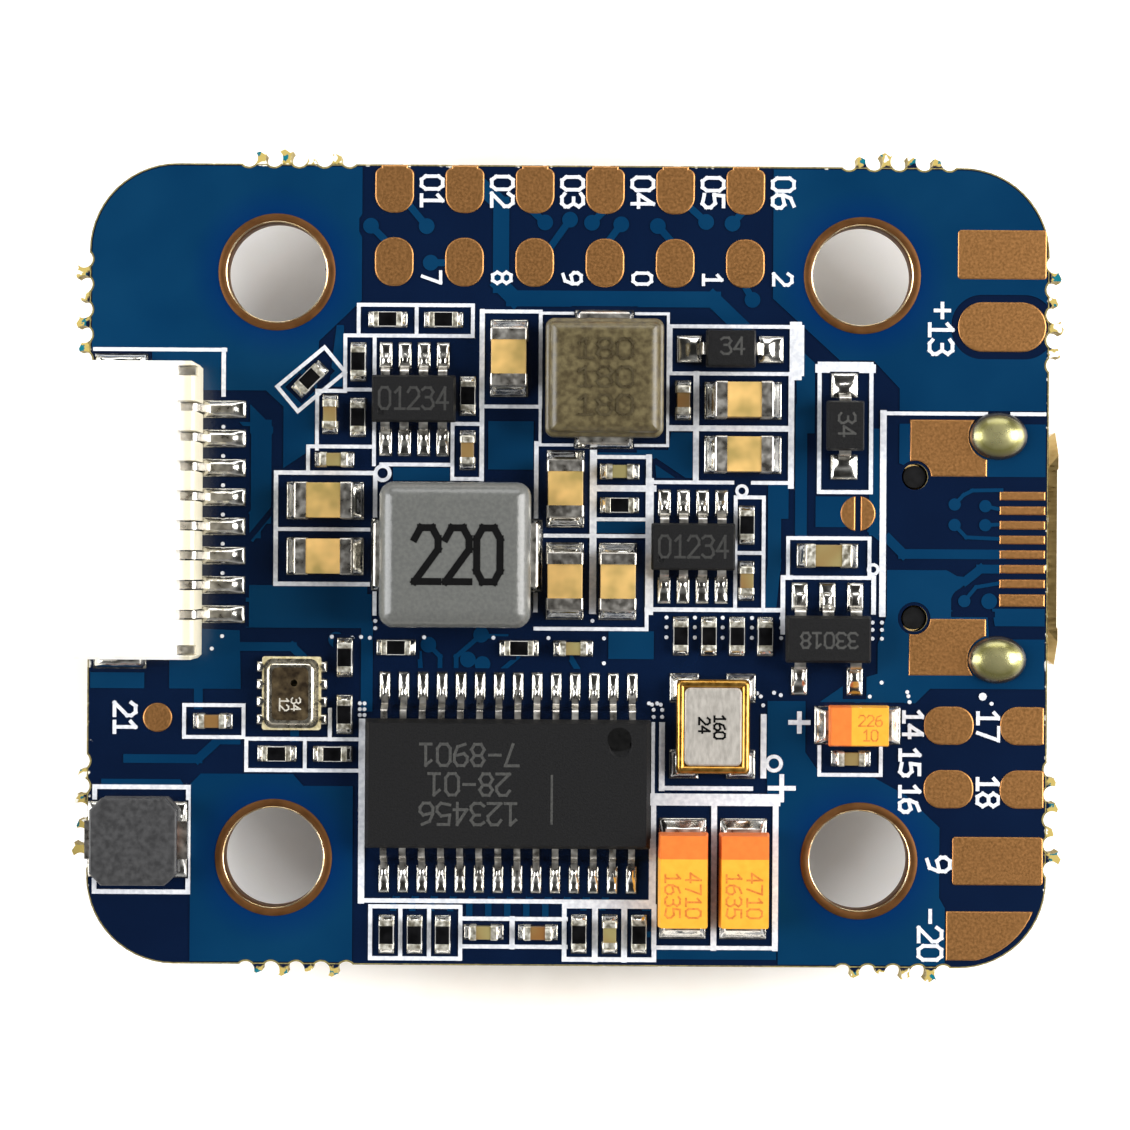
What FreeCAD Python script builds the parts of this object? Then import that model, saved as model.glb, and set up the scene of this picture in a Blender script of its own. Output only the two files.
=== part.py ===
import FreeCAD, Part
import math
import os
from FreeCAD import Vector

os.makedirs("parts", exist_ok=True)

# Flight controller board, in millimetres. X runs along the board towards the USB edge, Y across it
# and Z up. The origin is the middle of the mounting pattern, on the laminate's lower face.

# Circuit board
BOARD_LENGTH = 32.8
BOARD_WIDTH = 27.35
BOARD_THICKNESS = 1.2
BOARD_CORNER = 3.0
BOARD_MIDDLE_Y = 0.025
RIGHT_EDGE = BOARD_LENGTH / 2
TOP_EDGE = BOARD_MIDDLE_Y + BOARD_WIDTH / 2
BOTTOM_EDGE = BOARD_MIDDLE_Y - BOARD_WIDTH / 2

# Mounting holes, plated, for M3 screws or for M2 screws in rubber grommets
HOLE_SPACING = 20.0
HOLE_RADIUS = 1.7
PLATING_WALL = 0.05
RING_RADIUS = 2.0

# Exposed copper, tinned or gilded, standing on both faces of the laminate
LAND_HEIGHT = 0.05

# Break-off tabs: a row of drilled holes leaves ragged teeth on the edge
BITE_RADIUS = 0.3
BITE_PITCH = 0.86
TEETH_PER_TAB = 4

# Solder pads along the edges
SIGNAL_PITCH = 2.4
SIGNAL_COLUMNS = 6
SIGNAL_PAD_WIDTH = 1.32
VIDEO_ROWS = (-5.36, -7.53)
EDGE_GAP = 0.1

# USB socket, on the underside, with its mouth at the right edge
USB_MIDDLE_Y = 0.72
USB_REAR = 11.4
USB_MOUTH = 16.5
USB_HEIGHT = 2.5
USB_WALL = 0.25
USB_LIP_LENGTH = 0.4
USB_FLARE = 0.28
USB_DEPTH_OF_BLOCK = 2.0
USB_FACE_WIDTH = 5.4
USB_WIDTH = 7.5
USB_PEG_SPACING = 4.84
USB_PEG_X = 11.84
USB_PEG_RADIUS = 0.38
USB_PEG_HOLE_RADIUS = 0.45
USB_LEG_SPACING = 7.64
USB_LEG_X = 14.68
USB_LEG_LENGTH = 0.9
USB_CONTACTS = 5
USB_CONTACT_PITCH = 0.65

# Motor controller connector: eight ways, side entry, with its mouth at the left edge
PLUG_WAYS = 8
PLUG_PITCH = 1.0
PLUG_WIDTH = 10.0
PLUG_DEPTH = 4.25
PLUG_HEIGHT = 2.95
PLUG_REAR = -12.5
PLUG_MIDDLE_Y = 1.8

# Boot button, on the underside
BUTTON_LENGTH = 4.2
BUTTON_WIDTH = 2.8
BUTTON_BASE_HEIGHT = 1.0
BUTTON_HEIGHT = 1.9
BUTTON_FLOOR = 0.35
BUTTON_WELL_RADIUS = 1.0
BUTTON_COVER_SHEET = 0.15
PLUNGER_RADIUS = 0.7
PLUNGER_CLEARANCE = 0.05
BUTTON_TRAVEL = 0.25
DOME_RADIUS = 0.9
DOME_HEIGHT = 0.35
DOME_SHEET = 0.06

SEGMENT = 1e-6

pieces = {}


def add(node, *shapes):
    """Collects solids under the name of the node that they belong to."""
    pieces.setdefault(node, []).extend(shapes)


def block(x, y, z, length, width, height):
    """A box centred on x, y, standing on z."""
    return Part.makeBox(length, width, height, Vector(x - length / 2, y - width / 2, z))


def disc(x, y, z, radius, height):
    return Part.makeCylinder(radius, height, Vector(x, y, z))


def ring(x, y, z, outer, inner, height):
    return disc(x, y, z, outer, height).cut(disc(x, y, z, inner, height))


def rounded_outline(x, y, z, length, width, radius):
    """A rectangle with rounded corners, as a closed wire."""
    half_length = length / 2
    half_width = width / 2
    edges = []
    corners = ((1, 1, 0), (-1, 1, 90), (-1, -1, 180), (1, -1, 270))
    arcs = []
    for sign_x, sign_y, start in corners:
        centre = Vector(x + sign_x * (half_length - radius), y + sign_y * (half_width - radius), z)
        points = []
        for angle in (start, start + 45, start + 90):
            turn = math.radians(angle)
            points.append(centre + Vector(math.cos(turn), math.sin(turn), 0) * radius)
        arcs.append(points)
    for points, following in zip(arcs, arcs[1:] + arcs[:1]):
        edges.append(Part.Arc(*points).toShape())
        if points[2].distanceToPoint(following[0]) > SEGMENT:
            edges.append(Part.LineSegment(points[2], following[0]).toShape())
    return Part.Wire(edges)


def slab(outline, height):
    return Part.Face(outline).extrude(Vector(0, 0, height))


def rounded_slab(x, y, z, length, width, height, radius):
    return slab(rounded_outline(x, y, z, length, width, radius), height)


def polygon(points, z=0.0):
    corners = [Vector(px, py, z) for px, py in points]
    return Part.makePolygon(corners + corners[:1])


def upright_edges(shape):
    """The edges that run straight along Z."""
    found = []
    for edge in shape.Edges:
        ends = [vertex.Point for vertex in edge.Vertexes]
        if len(ends) == 2 and (ends[0] - ends[1]).cross(Vector(0, 0, 1)).Length < SEGMENT:
            found.append(edge)
    return found


def edges_above(shape, height):
    return [edge for edge in shape.Edges if edge.BoundBox.ZMin > height]


def soft_block(x, y, z, length, width, height, radius):
    """A box whose edges are all rounded."""
    box = block(x, y, z, length, width, height)
    return box.makeFillet(radius, box.Edges)


def moulded_body(length, width, bottom, seam_low, seam_high, top, draft):
    """An epoxy package: a flat band at the parting line, with drafted walls above and below it."""
    sections = []
    for z, inset in ((bottom, draft), (seam_low, 0), (seam_high, 0), (top, draft)):
        sections.append(rounded_outline(0, 0, z, length - 2 * inset, width - 2 * inset, 0.06))
    return Part.makeLoft(sections, True, True)


def rounded_path(points, radius):
    """Straight runs joined by tangent arcs of one radius."""
    edges = []
    start = points[0]
    for before, corner, after in zip(points, points[1:], points[2:]):
        back = Vector(before - corner).normalize()
        ahead = Vector(after - corner).normalize()
        half_angle = back.getAngle(ahead) / 2
        reach = radius / math.tan(half_angle)
        arc_start = corner + back * reach
        arc_end = corner + ahead * reach
        bisector = Vector(back + ahead).normalize()
        arc_middle = corner + bisector * (radius / math.sin(half_angle) - radius)
        edges.append(Part.LineSegment(start, arc_start).toShape())
        edges.append(Part.Arc(arc_start, arc_middle, arc_end).toShape())
        start = arc_end
    edges.append(Part.LineSegment(start, points[-1]).toShape())
    return Part.Wire(edges)


def bent_strip(points, width, thickness, radius):
    """A strip bent in the XZ plane; its first run leaves the first point along X."""
    path = rounded_path([Vector(x, 0, z) for x, z in points], radius)
    x, z = points[0]
    half_width = width / 2
    half_thickness = thickness / 2
    corners = [
        Vector(x, -half_width, z - half_thickness),
        Vector(x, half_width, z - half_thickness),
        Vector(x, half_width, z + half_thickness),
        Vector(x, -half_width, z + half_thickness),
    ]
    section = Part.makePolygon(corners + corners[:1])
    return path.makePipeShell([section], True, False)


def gull_lead(root, seam, toe, foot, width, thickness):
    """A lead that leaves the body at x = root, drops to the board and ends at x = toe."""
    flat = thickness / 2
    shoulder = root + (toe - foot - root) * 0.6
    points = ((root, seam), (shoulder, seam), (toe - foot, flat), (toe, flat))
    return bent_strip(points, width, thickness, thickness * 0.8)


def turned(shape, angle, x=0.0, y=0.0, z=0.0):
    """A copy turned about Z and then moved."""
    copy = shape.copy()
    copy.rotate(Vector(0, 0, 0), Vector(0, 0, 1), angle)
    copy.translate(Vector(x, y, z))
    return copy


def on_board(shape, x, y, angle=0.0, under=False, lift=LAND_HEIGHT):
    """Stands an upright shape on the upper face, or hangs it under the lower face."""
    copy = shape.copy()
    if under:
        copy.rotate(Vector(0, 0, 0), Vector(1, 0, 0), 180)
        copy.rotate(Vector(0, 0, 0), Vector(0, 0, 1), angle)
        copy.translate(Vector(x, y, -lift))
    else:
        copy.rotate(Vector(0, 0, 0), Vector(0, 0, 1), angle)
        copy.translate(Vector(x, y, BOARD_THICKNESS + lift))
    return copy


def fit(parts, x, y, angle=0.0, under=False):
    """Fits one component: each of its shapes goes to its own node, and lands lie on the laminate."""
    for node, shapes in parts.items():
        lift = 0.0 if node == "component_lands" else LAND_HEIGHT
        for shape in shapes:
            add(node, on_board(shape, x, y, angle, under, lift))


def land(x, y, length, width):
    return block(x, y, 0, length, width, LAND_HEIGHT)


def break_off_tab(first, along, outward, edge, reach):
    """Teeth of one snapped tab, and the row of drilled holes beside them, along one edge."""
    teeth = []
    for number, length in enumerate(reach):
        middle = first + number * BITE_PITCH
        points = (
            (middle - 0.4, -0.3),
            (middle - 0.28, length * 0.8),
            (middle - 0.06, length),
            (middle + 0.12, length * 0.75),
            (middle + 0.3, length * 0.9),
            (middle + 0.4, -0.3),
        )
        teeth.append(slab(polygon(points), BOARD_THICKNESS))
    holes = []
    for number in range(TEETH_PER_TAB + 1):
        middle = first + (number - 0.5) * BITE_PITCH
        holes.append(disc(middle, 0.2, 0, BITE_RADIUS, BOARD_THICKNESS))
    angle = math.degrees(math.atan2(along.y, along.x))
    shift = outward * edge
    facing = Vector(-along.y, along.x, 0).dot(outward)
    placed = []
    for group in (teeth, holes):
        moved = []
        for shape in group:
            copy = shape.copy()
            if facing < 0:
                copy = copy.mirror(Vector(0, 0, 0), Vector(0, 1, 0))
            moved.append(turned(copy, angle, shift.x, shift.y))
        placed.append(moved)
    return placed


def circuit_board():
    outline = rounded_outline(0, BOARD_MIDDLE_Y, 0, BOARD_LENGTH, BOARD_WIDTH, BOARD_CORNER)
    board = slab(outline, BOARD_THICKNESS)
    right = Vector(1, 0, 0)
    up = Vector(0, 1, 0)
    tabs = (
        (-10.55, right, up, TOP_EDGE, (0.42, 0.5, 0.2, 0.36)),
        (9.95, right, up, TOP_EDGE, (0.36, 0.5, 0.4, 0.3)),
        (-10.5, right, -up, -BOTTOM_EDGE, (0.3, 0.4, 0.25, 0.42)),
        (9.9, right, -up, -BOTTOM_EDGE, (0.35, 0.2, 0.42, 0.5)),
        (7.4, up, -right, RIGHT_EDGE, (0.36, 0.45, 0.3, 0.5)),
        (-9.75, up, -right, RIGHT_EDGE, (0.5, 0.34, 0.42, 0.3)),
        (7.4, up, right, RIGHT_EDGE, (0.4, 0.5, 0.3, 0.42)),
        (-9.85, up, right, RIGHT_EDGE, (0.5, 0.25, 0.4, 0.34)),
    )
    teeth = []
    holes = []
    for first, along, outward, edge, reach in tabs:
        tab_teeth, tab_holes = break_off_tab(first, along, outward, edge, reach)
        teeth.extend(tab_teeth)
        holes.extend(tab_holes)
    board = board.fuse(teeth).removeSplitter()
    for x, y in mounting_places():
        holes.append(disc(x, y, 0, HOLE_RADIUS + PLATING_WALL, BOARD_THICKNESS))
    for side in (-1, 1):
        peg_y = USB_MIDDLE_Y + side * USB_PEG_SPACING / 2
        leg_y = USB_MIDDLE_Y + side * USB_LEG_SPACING / 2
        holes.append(disc(USB_PEG_X, peg_y, 0, USB_PEG_HOLE_RADIUS, BOARD_THICKNESS))
        holes.append(leg_slot(leg_y))
    add("circuit_board", board.cut(holes))


def mounting_places():
    half = HOLE_SPACING / 2
    return [(x, y) for x in (-half, half) for y in (-half, half)]


def mounting_hole_plating():
    """A copper barrel with a ring on each face, rounded over at the mouth, in every hole."""
    height = BOARD_THICKNESS + 2 * LAND_HEIGHT
    for x, y in mounting_places():
        barrel = disc(x, y, -LAND_HEIGHT, HOLE_RADIUS + PLATING_WALL, height)
        for z in (-LAND_HEIGHT, BOARD_THICKNESS):
            barrel = barrel.fuse(disc(x, y, z, RING_RADIUS, LAND_HEIGHT))
        add("mounting_hole_plating", barrel.cut(disc(x, y, -LAND_HEIGHT, HOLE_RADIUS, height)))


def top_pad(node, *shapes):
    for shape in shapes:
        shape.translate(Vector(0, 0, BOARD_THICKNESS))
        add(node, shape)


def signal_pads():
    """Two rows of six: the outer row runs out to the board's edge."""
    for column in range(SIGNAL_COLUMNS):
        x = (column - (SIGNAL_COLUMNS - 1) / 2) * SIGNAL_PITCH
        outer = rounded_slab(x, 12.83, 0, SIGNAL_PAD_WIDTH, 1.56, LAND_HEIGHT, 0.6)
        shoulder = rounded_slab(x, 13.2, 0, SIGNAL_PAD_WIDTH, 0.8, LAND_HEIGHT, 0.25)
        strip = block(x, 13.58, 0, 0.9, 0.2, LAND_HEIGHT)
        top_pad("signal_pads", outer.fuse([shoulder, strip]).removeSplitter())
        top_pad("signal_pads", rounded_slab(x, 10.38, 0, SIGNAL_PAD_WIDTH, 1.67, LAND_HEIGHT, 0.62))


def power_pads():
    """Battery and supply pads on the right edge, the lowest one cut to the board's corner."""
    right = RIGHT_EDGE - EDGE_GAP
    top_pad("power_pads", rounded_slab(right - 1.52, 10.74, 0, 3.04, 1.69, LAND_HEIGHT, 0.12))
    top_pad("power_pads", rounded_slab(right - 1.51, 8.27, 0, 3.02, 1.7, LAND_HEIGHT, 0.84))
    top_pad("power_pads", rounded_slab(right - 1.56, -9.98, 0, 3.1, 1.65, LAND_HEIGHT, 0.12))
    inset = rounded_slab(0, BOARD_MIDDLE_Y, 0, BOARD_LENGTH - 0.5, BOARD_WIDTH - 0.4,
                         LAND_HEIGHT, BOARD_CORNER - 0.25)
    top_pad("power_pads", block(14.6, -12.54, 0, 3.22, 1.68, LAND_HEIGHT).common(inset))


def video_pads():
    """Camera and transmitter pads: an oval in each row and one that is cut off at the edge."""
    right = RIGHT_EDGE - EDGE_GAP
    edge_strip = block(right - 0.75, 0, 0, 1.5, BOARD_WIDTH, LAND_HEIGHT)
    for y in VIDEO_ROWS:
        top_pad("video_pads", rounded_slab(13.05, y, 0, 1.7, 1.31, LAND_HEIGHT, 0.6))
        whole = rounded_slab(15.75, y, 0, 1.9, 1.31, LAND_HEIGHT, 0.6)
        top_pad("video_pads", whole.common(edge_strip))


def spare_usb_pads():
    """The unused footprint of a USB socket on the upper face."""
    right = RIGHT_EDGE - EDGE_GAP
    for number in range(7):
        top_pad("spare_usb_pads", block(right - 0.78, 2.5 - number * 0.5, 0, 1.56, 0.3, LAND_HEIGHT))
    top_pad("spare_usb_pads", block(right - 0.78, -1.07, 0, 1.56, 0.43, LAND_HEIGHT))
    for side in (-1, 1):
        y = USB_MIDDLE_Y + side * 3.4
        peg_y = USB_MIDDLE_Y + side * USB_PEG_SPACING / 2
        leg_y = USB_MIDDLE_Y + side * USB_LEG_SPACING / 2
        tab = block(12.98, y, 0, 2.64, 1.95, LAND_HEIGHT)
        peg_relief = disc(USB_PEG_X, peg_y, 0, 0.55, LAND_HEIGHT)
        leg_ring = leg_solder_outline(leg_y, LAND_HEIGHT)
        top_pad("spare_usb_pads", tab.cut([peg_relief, leg_ring]))


def test_pads():
    """A round pad and the two half moons of an open jumper."""
    top_pad("test_pads", disc(-13.99, -5.24, 0, 0.5, LAND_HEIGHT))
    moon = disc(9.9, 1.87, 0, 0.6, LAND_HEIGHT)
    for side in (-1, 1):
        top_pad("test_pads", moon.common(block(9.9 + side * 0.4, 1.87, 0, 0.62, 1.2, LAND_HEIGHT)))


def plug_places():
    last = (PLUG_WAYS - 1) / 2
    return [PLUG_MIDDLE_Y + (number - last) * PLUG_PITCH for number in range(PLUG_WAYS)]


def plug_contact():
    """A flat contact: a blade in the mouth, through the rear wall and down to the board."""
    points = ((PLUG_REAR - 3.4, 1.5), (PLUG_REAR - 0.12, 1.5), (PLUG_REAR + 0.16, 0.1), (-11.45, 0.1))
    return bent_strip(points, 0.25, 0.2, 0.17)


def plug_anchors():
    """Metal tabs in the housing's side walls, each with a foot on its own land."""
    anchors = []
    for side in (-1, 1):
        y = PLUG_MIDDLE_Y + side * (PLUG_WIDTH / 2 - 0.32)
        front = PLUG_REAR - 3.6
        blade = Part.makeBox(3.55, 0.25, 2.3, Vector(front, y - 0.125, 0))
        foot = block(front + 0.85, y + side * 0.3, 0, 1.5, 0.6, 0.2)
        anchors.append(blade.fuse(foot).removeSplitter())
    return anchors


def motor_connector():
    middle = PLUG_REAR - PLUG_DEPTH / 2
    mouth = PLUG_REAR - PLUG_DEPTH
    shell = block(middle, PLUG_MIDDLE_Y, 0, PLUG_DEPTH, PLUG_WIDTH, PLUG_HEIGHT)
    shell = shell.makeChamfer(0.12, upright_edges(shell) + edges_above(shell, PLUG_HEIGHT - 0.01))
    cavity = block(mouth + 1.55, PLUG_MIDDLE_Y, 0.55, 3.1, 8.7, 1.85)
    floor_key = block(mouth + 1.2, PLUG_MIDDLE_Y, 0.3, 2.4, 6.4, 0.3)
    cuts = [cavity, floor_key]
    for side in (-1, 1):
        cuts.append(block(mouth + 1.4, PLUG_MIDDLE_Y + side * 4.72, 0, 1.7, 0.6, 0.25))
    lift = Vector(0, 0, LAND_HEIGHT)
    for y in plug_places():
        contact = plug_contact()
        contact.translate(Vector(0, y, 0) + lift)
        cuts.append(block(PLUG_REAR - 0.3, y, 0, 0.6, 0.35, PLUG_HEIGHT))
        cuts.append(contact)
        add("motor_connector_contacts", on_board(contact, 0, 0, lift=0.0))
        add("component_lands", on_board(land(PLUG_REAR + 0.74, y, 1.48, 0.6), 0, 0, lift=0.0))
    for side, anchor in zip((-1, 1), plug_anchors()):
        anchor.translate(lift)
        cuts.append(anchor)
        cuts.append(block(PLUG_REAR - 0.3, PLUG_MIDDLE_Y + side * 4.68, 1.9, 0.6, 0.35, 1.05))
        add("motor_connector_anchors", on_board(anchor, 0, 0, lift=0.0))
        anchor_land = land(-15.29, PLUG_MIDDLE_Y + side * 4.98, 1.82, 0.8)
        add("component_lands", on_board(anchor_land, 0, 0, lift=0.0))
        cuts.append(anchor_land)
    add("motor_connector_housing", on_board(shell.cut(cuts), 0, 0, lift=0.0))


def row_of_leads(lead, offsets, side):
    """Leads along X offsets, on the side that faces +Y or -Y."""
    return [turned(lead, 90 * side, offset) for offset in offsets]


def spread(count, pitch):
    return [(number - (count - 1) / 2) * pitch for number in range(count)]


def display_chip():
    body = moulded_body(9.7, 4.4, 0.1, 0.52, 0.68, 1.15, 0.14)
    body = body.cut(Part.makeCone(0.32, 0.4, 0.08, Vector(3.83, 1.31, 1.08)))
    lead = gull_lead(2.2, 0.6, 3.2, 0.55, 0.22, 0.13)
    offsets = spread(14, 0.65)
    leads = row_of_leads(lead, offsets, 1) + row_of_leads(lead, offsets, -1)
    lands = [land(x, side * 3.3, 0.36, 0.95) for x in offsets for side in (-1, 1)]
    return {"display_chip_body": [body], "display_chip_leads": leads, "component_lands": lands}


def switching_regulator():
    body = moulded_body(2.85, 1.6, 0.08, 0.4, 0.54, 0.85, 0.07)
    body = body.cut(Part.makeCone(0.09, 0.13, 0.05, Vector(-1.1, -0.45, 0.81)))
    lead = gull_lead(0.8, 0.47, 1.42, 0.36, 0.3, 0.13)
    offsets = spread(4, 0.65)
    leads = row_of_leads(lead, offsets, 1) + row_of_leads(lead, offsets, -1)
    lands = [land(x, side * 1.5, 0.44, 0.9) for x in offsets for side in (-1, 1)]
    return {
        "switching_regulator_bodies": [body],
        "switching_regulator_leads": leads,
        "component_lands": lands,
    }


def linear_regulator():
    body = moulded_body(2.9, 1.6, 0.1, 0.5, 0.66, 1.1, 0.09)
    lead = gull_lead(0.8, 0.58, 1.45, 0.4, 0.38, 0.15)
    wide = (-0.95, 0, 0.95)
    outer = (-0.95, 0.95)
    leads = row_of_leads(lead, wide, 1) + row_of_leads(lead, outer, -1)
    lands = [land(x, 1.45, 0.55, 0.95) for x in wide]
    lands.extend(land(x, -1.45, 0.55, 0.95) for x in outer)
    return {
        "linear_regulator_bodies": [body],
        "linear_regulator_leads": leads,
        "component_lands": lands,
    }


def moulded_inductor(name, length, width, height, corner, bevel, terminal_width, terminal_reach):
    """A pressed iron-powder block over a flat copper coil, with a terminal on each end."""
    body = rounded_slab(0, 0, 0, length, width, height, corner)
    rim = [edge for edge in body.Edges if edge.BoundBox.ZMin > height - 0.01]
    body = body.makeChamfer(bevel, rim)
    coil_height = height * 0.4
    coil_floor = height * 0.3
    outer = min(length, width) * 0.36
    coil = ring(0, 0, coil_floor, outer, outer * 0.45, coil_height)
    tail_height = coil_floor + 0.1
    terminals = []
    for side in (-1, 1):
        tail_length = length / 2 - outer * 0.8
        tail_middle = side * (length / 2 - tail_length / 2)
        coil = coil.fuse(block(tail_middle, 0, coil_floor, tail_length, 0.5, 0.3))
        face = side * (length / 2 + terminal_reach / 2)
        plate = block(face, 0, 0, terminal_reach, terminal_width, tail_height + 0.4)
        outside = [
            edge for edge in plate.Edges
            if abs(edge.CenterOfMass.x) > length / 2 + terminal_reach - 0.01
            and abs(edge.CenterOfMass.z) > 0.01
        ]
        terminals.append(plate.makeFillet(terminal_reach * 0.4, outside))
    lands = []
    for side in (-1, 1):
        inner = length / 2 - 0.9
        outer_end = length / 2 + terminal_reach + 0.12
        middle = side * (inner + outer_end) / 2
        lands.append(land(middle, 0, outer_end - inner, terminal_width + 0.3))
    return {
        name + "_body": [body.cut(coil)],
        name + "_coil": [coil.removeSplitter()],
        name + "_terminals": terminals,
        "component_lands": lands,
    }


def filter_inductor():
    """A small wound drum between two square ferrite flanges."""
    flange = slab(clipped_square(2.95, 2.95, 0.4), 0.4)
    upper = flange.copy()
    upper.translate(Vector(0, 0, 1.1))
    post = disc(0, 0, 0.4, 0.6, 0.7)
    drum = flange.fuse([upper, post]).removeSplitter()
    coil = ring(0, 0, 0.4, 1.35, 0.6, 0.7)
    terminals = []
    lands = []
    for side in (-1, 1):
        clip = block(side * 1.5, 0, 0, 0.5, 1.3, 0.5)
        terminals.append(clip.cut([drum, coil]))
        lands.append(land(side * 1.25, 0, 0.9, 2.6))
    return {
        "filter_inductor_core": [drum],
        "filter_inductor_coil": [coil],
        "filter_inductor_terminals": terminals,
        "component_lands": lands,
    }


def clipped_square(length, width, clip):
    """A rectangle with its four corners cut off, as a closed wire."""
    x = length / 2
    y = width / 2
    points = (
        (x, -y + clip), (x, y - clip), (x - clip, y), (-x + clip, y),
        (-x, y - clip), (-x, -y + clip), (-x + clip, -y), (x - clip, -y),
    )
    return polygon(points)


def crystal():
    """A ceramic tub with a quartz blank on two ledges and a metal lid seam-welded over it."""
    tub = rounded_slab(0, 0, 0, 2.5, 3.2, 0.6, 0.15)
    well = rounded_slab(0, 0, 0.3, 1.7, 2.4, 0.3, 0.1)
    deep = rounded_slab(0, 0.25, 0.15, 1.5, 1.7, 0.15, 0.1)
    blank = block(0, 0.05, 0.3, 1.3, 2.1, 0.08)
    lid = rounded_slab(0, 0, 0.6, 1.95, 2.65, 0.12, 0.2)
    lid = lid.makeChamfer(0.05, edges_above(lid, 0.7))
    lands = []
    for side_x in (-1, 1):
        for side_y in (-1, 1):
            lands.append(land(side_x * 0.97, side_y * 1.3, 1.0, 1.0))
    return {
        "crystal_bases": [tub.cut([well, deep])],
        "quartz_blanks": [blank],
        "crystal_lids": [lid],
        "component_lands": lands,
    }


def barometer():
    """A pressure sensor die on a small substrate, under a vented metal lid."""
    substrate = rounded_slab(0, 0, 0, 2.0, 2.5, 0.28, 0.08)
    castellations = []
    for side in (-1, 1):
        for y in spread(4, 0.6):
            castellations.append(disc(side * 1.0, y, 0, 0.11, 0.28))
    skirt = rounded_slab(0, 0, 0.28, 1.86, 2.36, 0.07, 0.3)
    cap = rounded_slab(0, 0, 0.35, 1.62, 2.12, 0.55, 0.25)
    cap = cap.makeFillet(0.12, edges_above(cap, 0.89))
    inside = rounded_slab(0, 0, 0.28, 1.44, 1.94, 0.53, 0.2)
    vent = disc(0.13, 0.37, 0.7, 0.12, 0.3)
    lid = skirt.fuse(cap).removeSplitter().cut([inside, vent])
    die = block(0, -0.3, 0.28, 0.9, 0.9, 0.3)
    lands = []
    for side in (-1, 1):
        for y in spread(4, 0.6):
            lands.append(land(side * 0.95, y, 0.5, 0.36))
    return {
        "barometer_base": [substrate.cut(castellations)],
        "barometer_lid": [lid],
        "barometer_die": [die],
        "component_lands": lands,
    }


def tantalum(name, length, width, height, terminal_width):
    """A moulded tantalum capacitor whose terminals fold under both ends."""
    body = moulded_body(length, width, 0.1, 0.5, 0.62, height, 0.06)
    terminals = []
    lands = []
    for side in (-1, 1):
        end = block(side * (length / 2 + 0.05), 0, 0, 0.1, terminal_width, 0.62)
        foot = block(side * (length / 2 - 0.4), 0, 0, 0.8, terminal_width, 0.1)
        terminals.append(end.fuse(foot).removeSplitter())
        lands.append(land(side * (length / 2 - 0.18), 0, 1.25, width - 0.1))
    return {
        name: [body],
        name.replace("body", "terminals").replace("bodies", "terminals"): terminals,
        "component_lands": lands,
    }


def chip_capacitor(size, length, width, height, cap_length, land_reach):
    """A layered ceramic block with a plated cap over each end, proud of the block."""
    plating = 0.03
    core = soft_block(0, 0, plating, length - 2 * plating, width - 2 * plating,
                      height - 2 * plating, plating)
    terminals = []
    lands = []
    for side in (-1, 1):
        whole = soft_block(0, 0, 0, length, width, height, 2.4 * plating)
        end = block(side * (length / 2 - cap_length / 2), 0, 0, cap_length, width, height)
        terminals.append(whole.common(end).cut(core))
        middle = side * (length / 2 - cap_length + land_reach) / 2 + side * (length / 2) / 2
        lands.append(land(middle, 0, cap_length + land_reach, width + 0.04))
    return {
        size + "_capacitor_bodies": [core],
        size + "_capacitor_terminals": terminals,
        "component_lands": lands,
    }


def chip_resistor():
    """An alumina tile with plated ends and a dark glaze over the film between them."""
    core = block(0, 0, 0.03, 0.94, 0.5, 0.26)
    coat = block(0, 0, 0.29, 0.6, 0.46, 0.04)
    coat = coat.makeChamfer(0.02, edges_above(coat, 0.32))
    terminals = []
    lands = []
    for side in (-1, 1):
        end = soft_block(side * 0.4, 0, 0, 0.2, 0.5, 0.32, 0.028)
        terminals.append(end.cut(core))
        lands.append(land(side * 0.45, 0, 0.44, 0.54))
    return {
        "resistor_bodies": [core],
        "resistor_coats": [coat],
        "resistor_terminals": terminals,
        "component_lands": lands,
    }


def diode():
    body = moulded_body(1.7, 1.28, 0.05, 0.42, 0.56, 0.95, 0.07)
    lead = gull_lead(0.85, 0.49, 1.36, 0.32, 0.4, 0.13)
    lands = [land(side * 1.4, 0, 0.85, 0.92) for side in (-1, 1)]
    return {
        "diode_bodies": [body],
        "diode_leads": [turned(lead, 0), turned(lead, 180)],
        "component_lands": lands,
    }


def processor():
    body = moulded_body(10.0, 10.0, 0.1, 0.72, 0.88, 1.5, 0.16)
    body = body.cut(Part.makeCone(0.5, 0.6, 0.08, Vector(-3.9, 3.9, 1.43)))
    lead = gull_lead(5.0, 0.8, 6.0, 0.6, 0.22, 0.13)
    leads = []
    lands = []
    for angle in (0, 90, 180, 270):
        for offset in spread(16, 0.5):
            moved = lead.copy()
            moved.translate(Vector(0, offset, 0))
            leads.append(turned(moved, angle))
            lands.append(turned(land(5.85, offset, 0.9, 0.28), angle))
    return {"processor_body": [body], "processor_leads": leads, "component_lands": lands}


def gyro():
    body = rounded_slab(0, 0, 0, 3.0, 3.0, 0.9, 0.1)
    body = body.cut(Part.makeCone(0.16, 0.2, 0.04, Vector(-1.0, 1.0, 0.87)))
    lands = []
    for angle in (0, 90, 180, 270):
        for offset in spread(6, 0.4):
            lands.append(turned(land(1.4, offset, 0.5, 0.22), angle))
    return {"gyro_body": [body], "component_lands": lands}


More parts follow.
